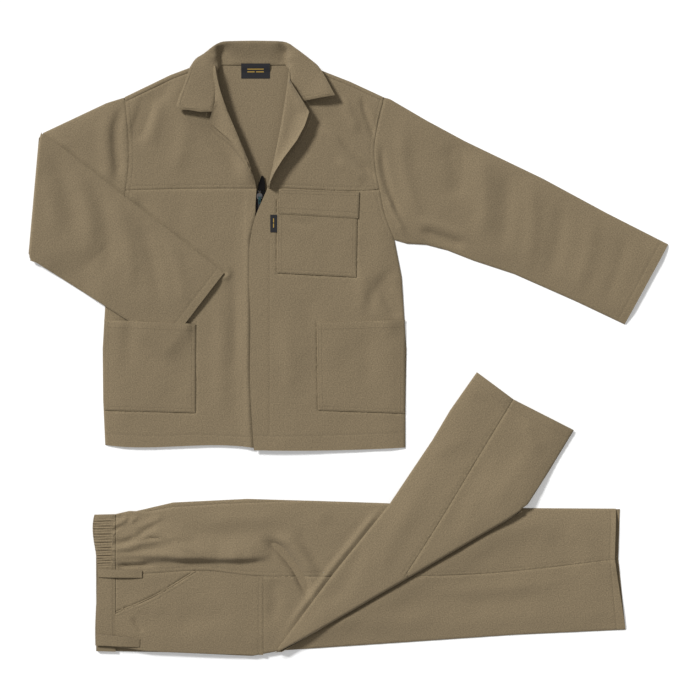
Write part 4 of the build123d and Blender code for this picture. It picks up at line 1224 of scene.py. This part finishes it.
HIP_SEAMS = [SIDE_SEAM, WAIST_SEAM, offset(SLANT, 1.2)]
HIP_ROWS = [offset(SIDE_SEAM, 2), offset(SIDE_SEAM, 8), *PANEL_ROWS]
LEG_ROW = offset(LEG_SEAM, 6)
TROUSER_EDGES = [RIGHT_LEG_BACK, RIGHT_LEG_FRONT]
HIP_EDGES = [HIP_BACK, HIP_FRONT]
LEG_EDGES = [LEG_FRONT, LEG_BACK]

right_leg_surface = surface(right_leg_top, [RIGHT_SEAM], RIGHT_ROWS)
hip_surface = surface(hip_top, HIP_SEAMS, HIP_ROWS)
leg_surface = surface(leg_top, [LEG_SEAM], [LEG_ROW])
for node in ("right_front_leg", "right_back_leg"):
    top = sheet(node + ".upper", LOOPS[node], right_leg_surface, grain=0.0,
                rows=guides(TROUSER_EDGES, [RIGHT_SEAM, *RIGHT_ROWS]))
    low = sheet(node + ".lower", inset(UNDER_LOOPS[node], TUCK, TROUSER_EDGES),
                lambda x, y: (x, y, CLOTH + 0.6 * ease((-150 - x) / 20)), grid=COARSE, grain=0.0)
    declare(top, "trousers", node=node)
    declare(low, "trousers")
for node in ("left_front_hip", "left_back_hip"):
    top = sheet(node + ".upper", LOOPS[node], hip_surface, grain=0.0,
                rows=guides(HIP_EDGES, [*HIP_SEAMS, *HIP_ROWS]))
    low = turned_under(node + ".lower", UNDER_LOOPS[node], HIP_EDGES, CREASE, hip_base, LEG_AXIS, 7, 0.0)
    declare(top, "trousers", node=node)
    declare(low)
    blend_round(low)
for node in ("left_front_leg", "left_back_leg"):
    top = sheet(node + ".upper", turned_loop(LOOPS[node], CREASE),
                turn_at(CREASE, lambda x, y: leg_surface(x, y)[2], LEG_AXIS), grain=LEFT_LEG_GRAIN,
                rows=[*guides(LEG_EDGES, [LEG_SEAM, LEG_ROW, LEG_HEM_STITCH]), *turn_rows(CREASE)])
    low = sheet(node + ".lower", inset(LOOPS[node], TUCK, LEG_EDGES), lower_layer(leg_base),
                grid=COARSE, grain=LEFT_LEG_GRAIN)
    declare(top, node=node)
    declare(low, "left_leg")
    blend_round(top)


def band_surface(x, y):
    """The waistband on the left hip, which stands a little higher at its edges."""
    ends = 0.6 * (1 - ease((np.abs(x + 476) - 14) / 5))
    return x, y, hip_top(x, y) + 0.5 + ends + grooves(x, y, rows=BAND_STITCH)


BAND_STITCH = [np.array([(-461, -324), (-461, -576)], float), np.array([(-491, -430), (-492, -572)], float)]
BAND_EDGES = [[(-456, -321), (-497, -322)], [(-495, -574), (-456, -579)]]
band = sheet("left_waistband.upper", LOOPS["left_waistband"], band_surface, grid=1.5, thickness=1.0,
             grain=LENGTHWISE, rows=guides(BAND_EDGES, BAND_STITCH))
band_low = sheet("left_waistband.lower", UNDER_LOOPS["left_waistband"], lower_layer(hip_base),
                 grid=COARSE)
declare(band, "trousers", node="left_waistband")
declare(band_low, "trousers")
elastic = sheet("left_elastic.web", rectangle(-486, -428, -461, -342),
                lambda x, y: (x, y, hip_base(x, y) + 2.6), grid=5, thickness=0.7, material="elastic_web")
attach(elastic, "trousers", "left_waist_elastic")

panel_surface = surface(lambda x, y: hip_top(x, y) + 0.2 + 1.0 * ease((-172 - x) / 70),
                        SLANT_ROWS[:1], [SLANT_ROWS[1], *PANEL_ROWS])
pocket_panel = sheet("left_pocket_panel.cloth", LOOPS["left_pocket_panel"], panel_surface, grain=0.0,
                     thickness=0.6, rows=guides(HIP_EDGES, [*SLANT_ROWS, *PANEL_ROWS]))
declare(pocket_panel, "trousers", node="left_pocket_panel")

for node, loop in (("left_side_belt_loop", [(-489, -443), (-404, -444), (-404, -430), (-489, -427)]),
                   ("left_front_belt_loop", [(-495, -576), (-409, -579), (-408, -563), (-494, -553)])):
    loop = np.array(loop, float)

    def loop_surface(x, y):
        arch = 2.6 * np.sin(np.clip((x + 491) / 82, 0, 1) * math.pi) ** 0.7
        return x, y, hip_top(x, y) + 2.2 + arch
    piece = sheet(node + ".cloth", loop, loop_surface, grid=3.5, thickness=1.2, grain=0.0)
    attach(piece, "trousers", node)

threads("trousers.stitches", [
    *sewn(RIGHT_ROWS, right_leg_surface),
    *sewn(HIP_ROWS[:2], hip_surface),
    *sewn([*SLANT_ROWS, *PANEL_ROWS], panel_surface),
    *sewn(BAND_STITCH, band_surface)], "trousers")
threads("left_leg.stitches", [(LEG_ROW[6:], leg_surface), (LEG_HEM_STITCH, surface(leg_top))], "left_leg")

# ---- CAD nodes that show as they are -------------------------------------------------------
# The last word of a node's name says what it is made of; the rest is the suit's own cloth
NODE_MATERIALS = {"tape": "tape", "teeth": "teeth", "stops": "teeth", "box": "teeth", "pin": "teeth",
                  "slider": "slider", "pull": "pull", "button": "button", "elastic": "elastic_web"}
for name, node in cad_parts.items():
    if not node.hide_render:
        node.data.materials.clear()
        node.data.materials.append(MATERIALS[NODE_MATERIALS.get(name.split("_")[-1], "drill")])

# ---- studio ------------------------------------------------------------------------------
scene = bpy.context.scene
scene.view_settings.view_transform = "Standard"
bpy.ops.mesh.primitive_plane_add(size=14, location=(0, 0, -0.0004))
floor = bpy.context.object
floor.name = "floor"
material("floor_paper", (0.93, 0.93, 0.93), 0.9)
paper = MATERIALS["floor_paper"].node_tree.nodes["Principled BSDF"]
paper.inputs["Emission Color"].default_value = (1, 1, 1, 1)
paper.inputs["Emission Strength"].default_value = 0.2
floor.data.materials.append(MATERIALS["floor_paper"])

world = bpy.data.worlds.new("studio")
scene.world = world
world.use_nodes = True
world.node_tree.nodes["Background"].inputs[0].default_value = (1, 1, 1, 1)
world.node_tree.nodes["Background"].inputs[1].default_value = 0.30


def put(name, data, place=(0, 0, 0), aim=None):
    """Add a lamp or the camera to the scene, looking along aim or else straight down."""
    made = bpy.data.objects.new(name, data)
    made.location = place
    if aim:
        made.rotation_euler = Vector(aim).to_track_quat("-Z", "Y").to_euler()
    scene.collection.objects.link(made)
    return made


fill = bpy.data.lights.new("fill", "AREA")
fill.shape = "DISK"
fill.size = 2.5
fill.energy = 10
put("fill", fill, (2.4, -2.0, 3.4), (-2.4, 2.0, -3.4))
sun = bpy.data.lights.new("key", "SUN")
sun.energy = 3.5
sun.angle = math.radians(12)
put("key", sun, aim=(2.5, -2.3, -2.35))
camera = bpy.data.cameras.new("camera")
camera.lens = 100
camera.clip_end = 50
scene.camera = put("camera", camera, (0, -0.00195, 3.79))
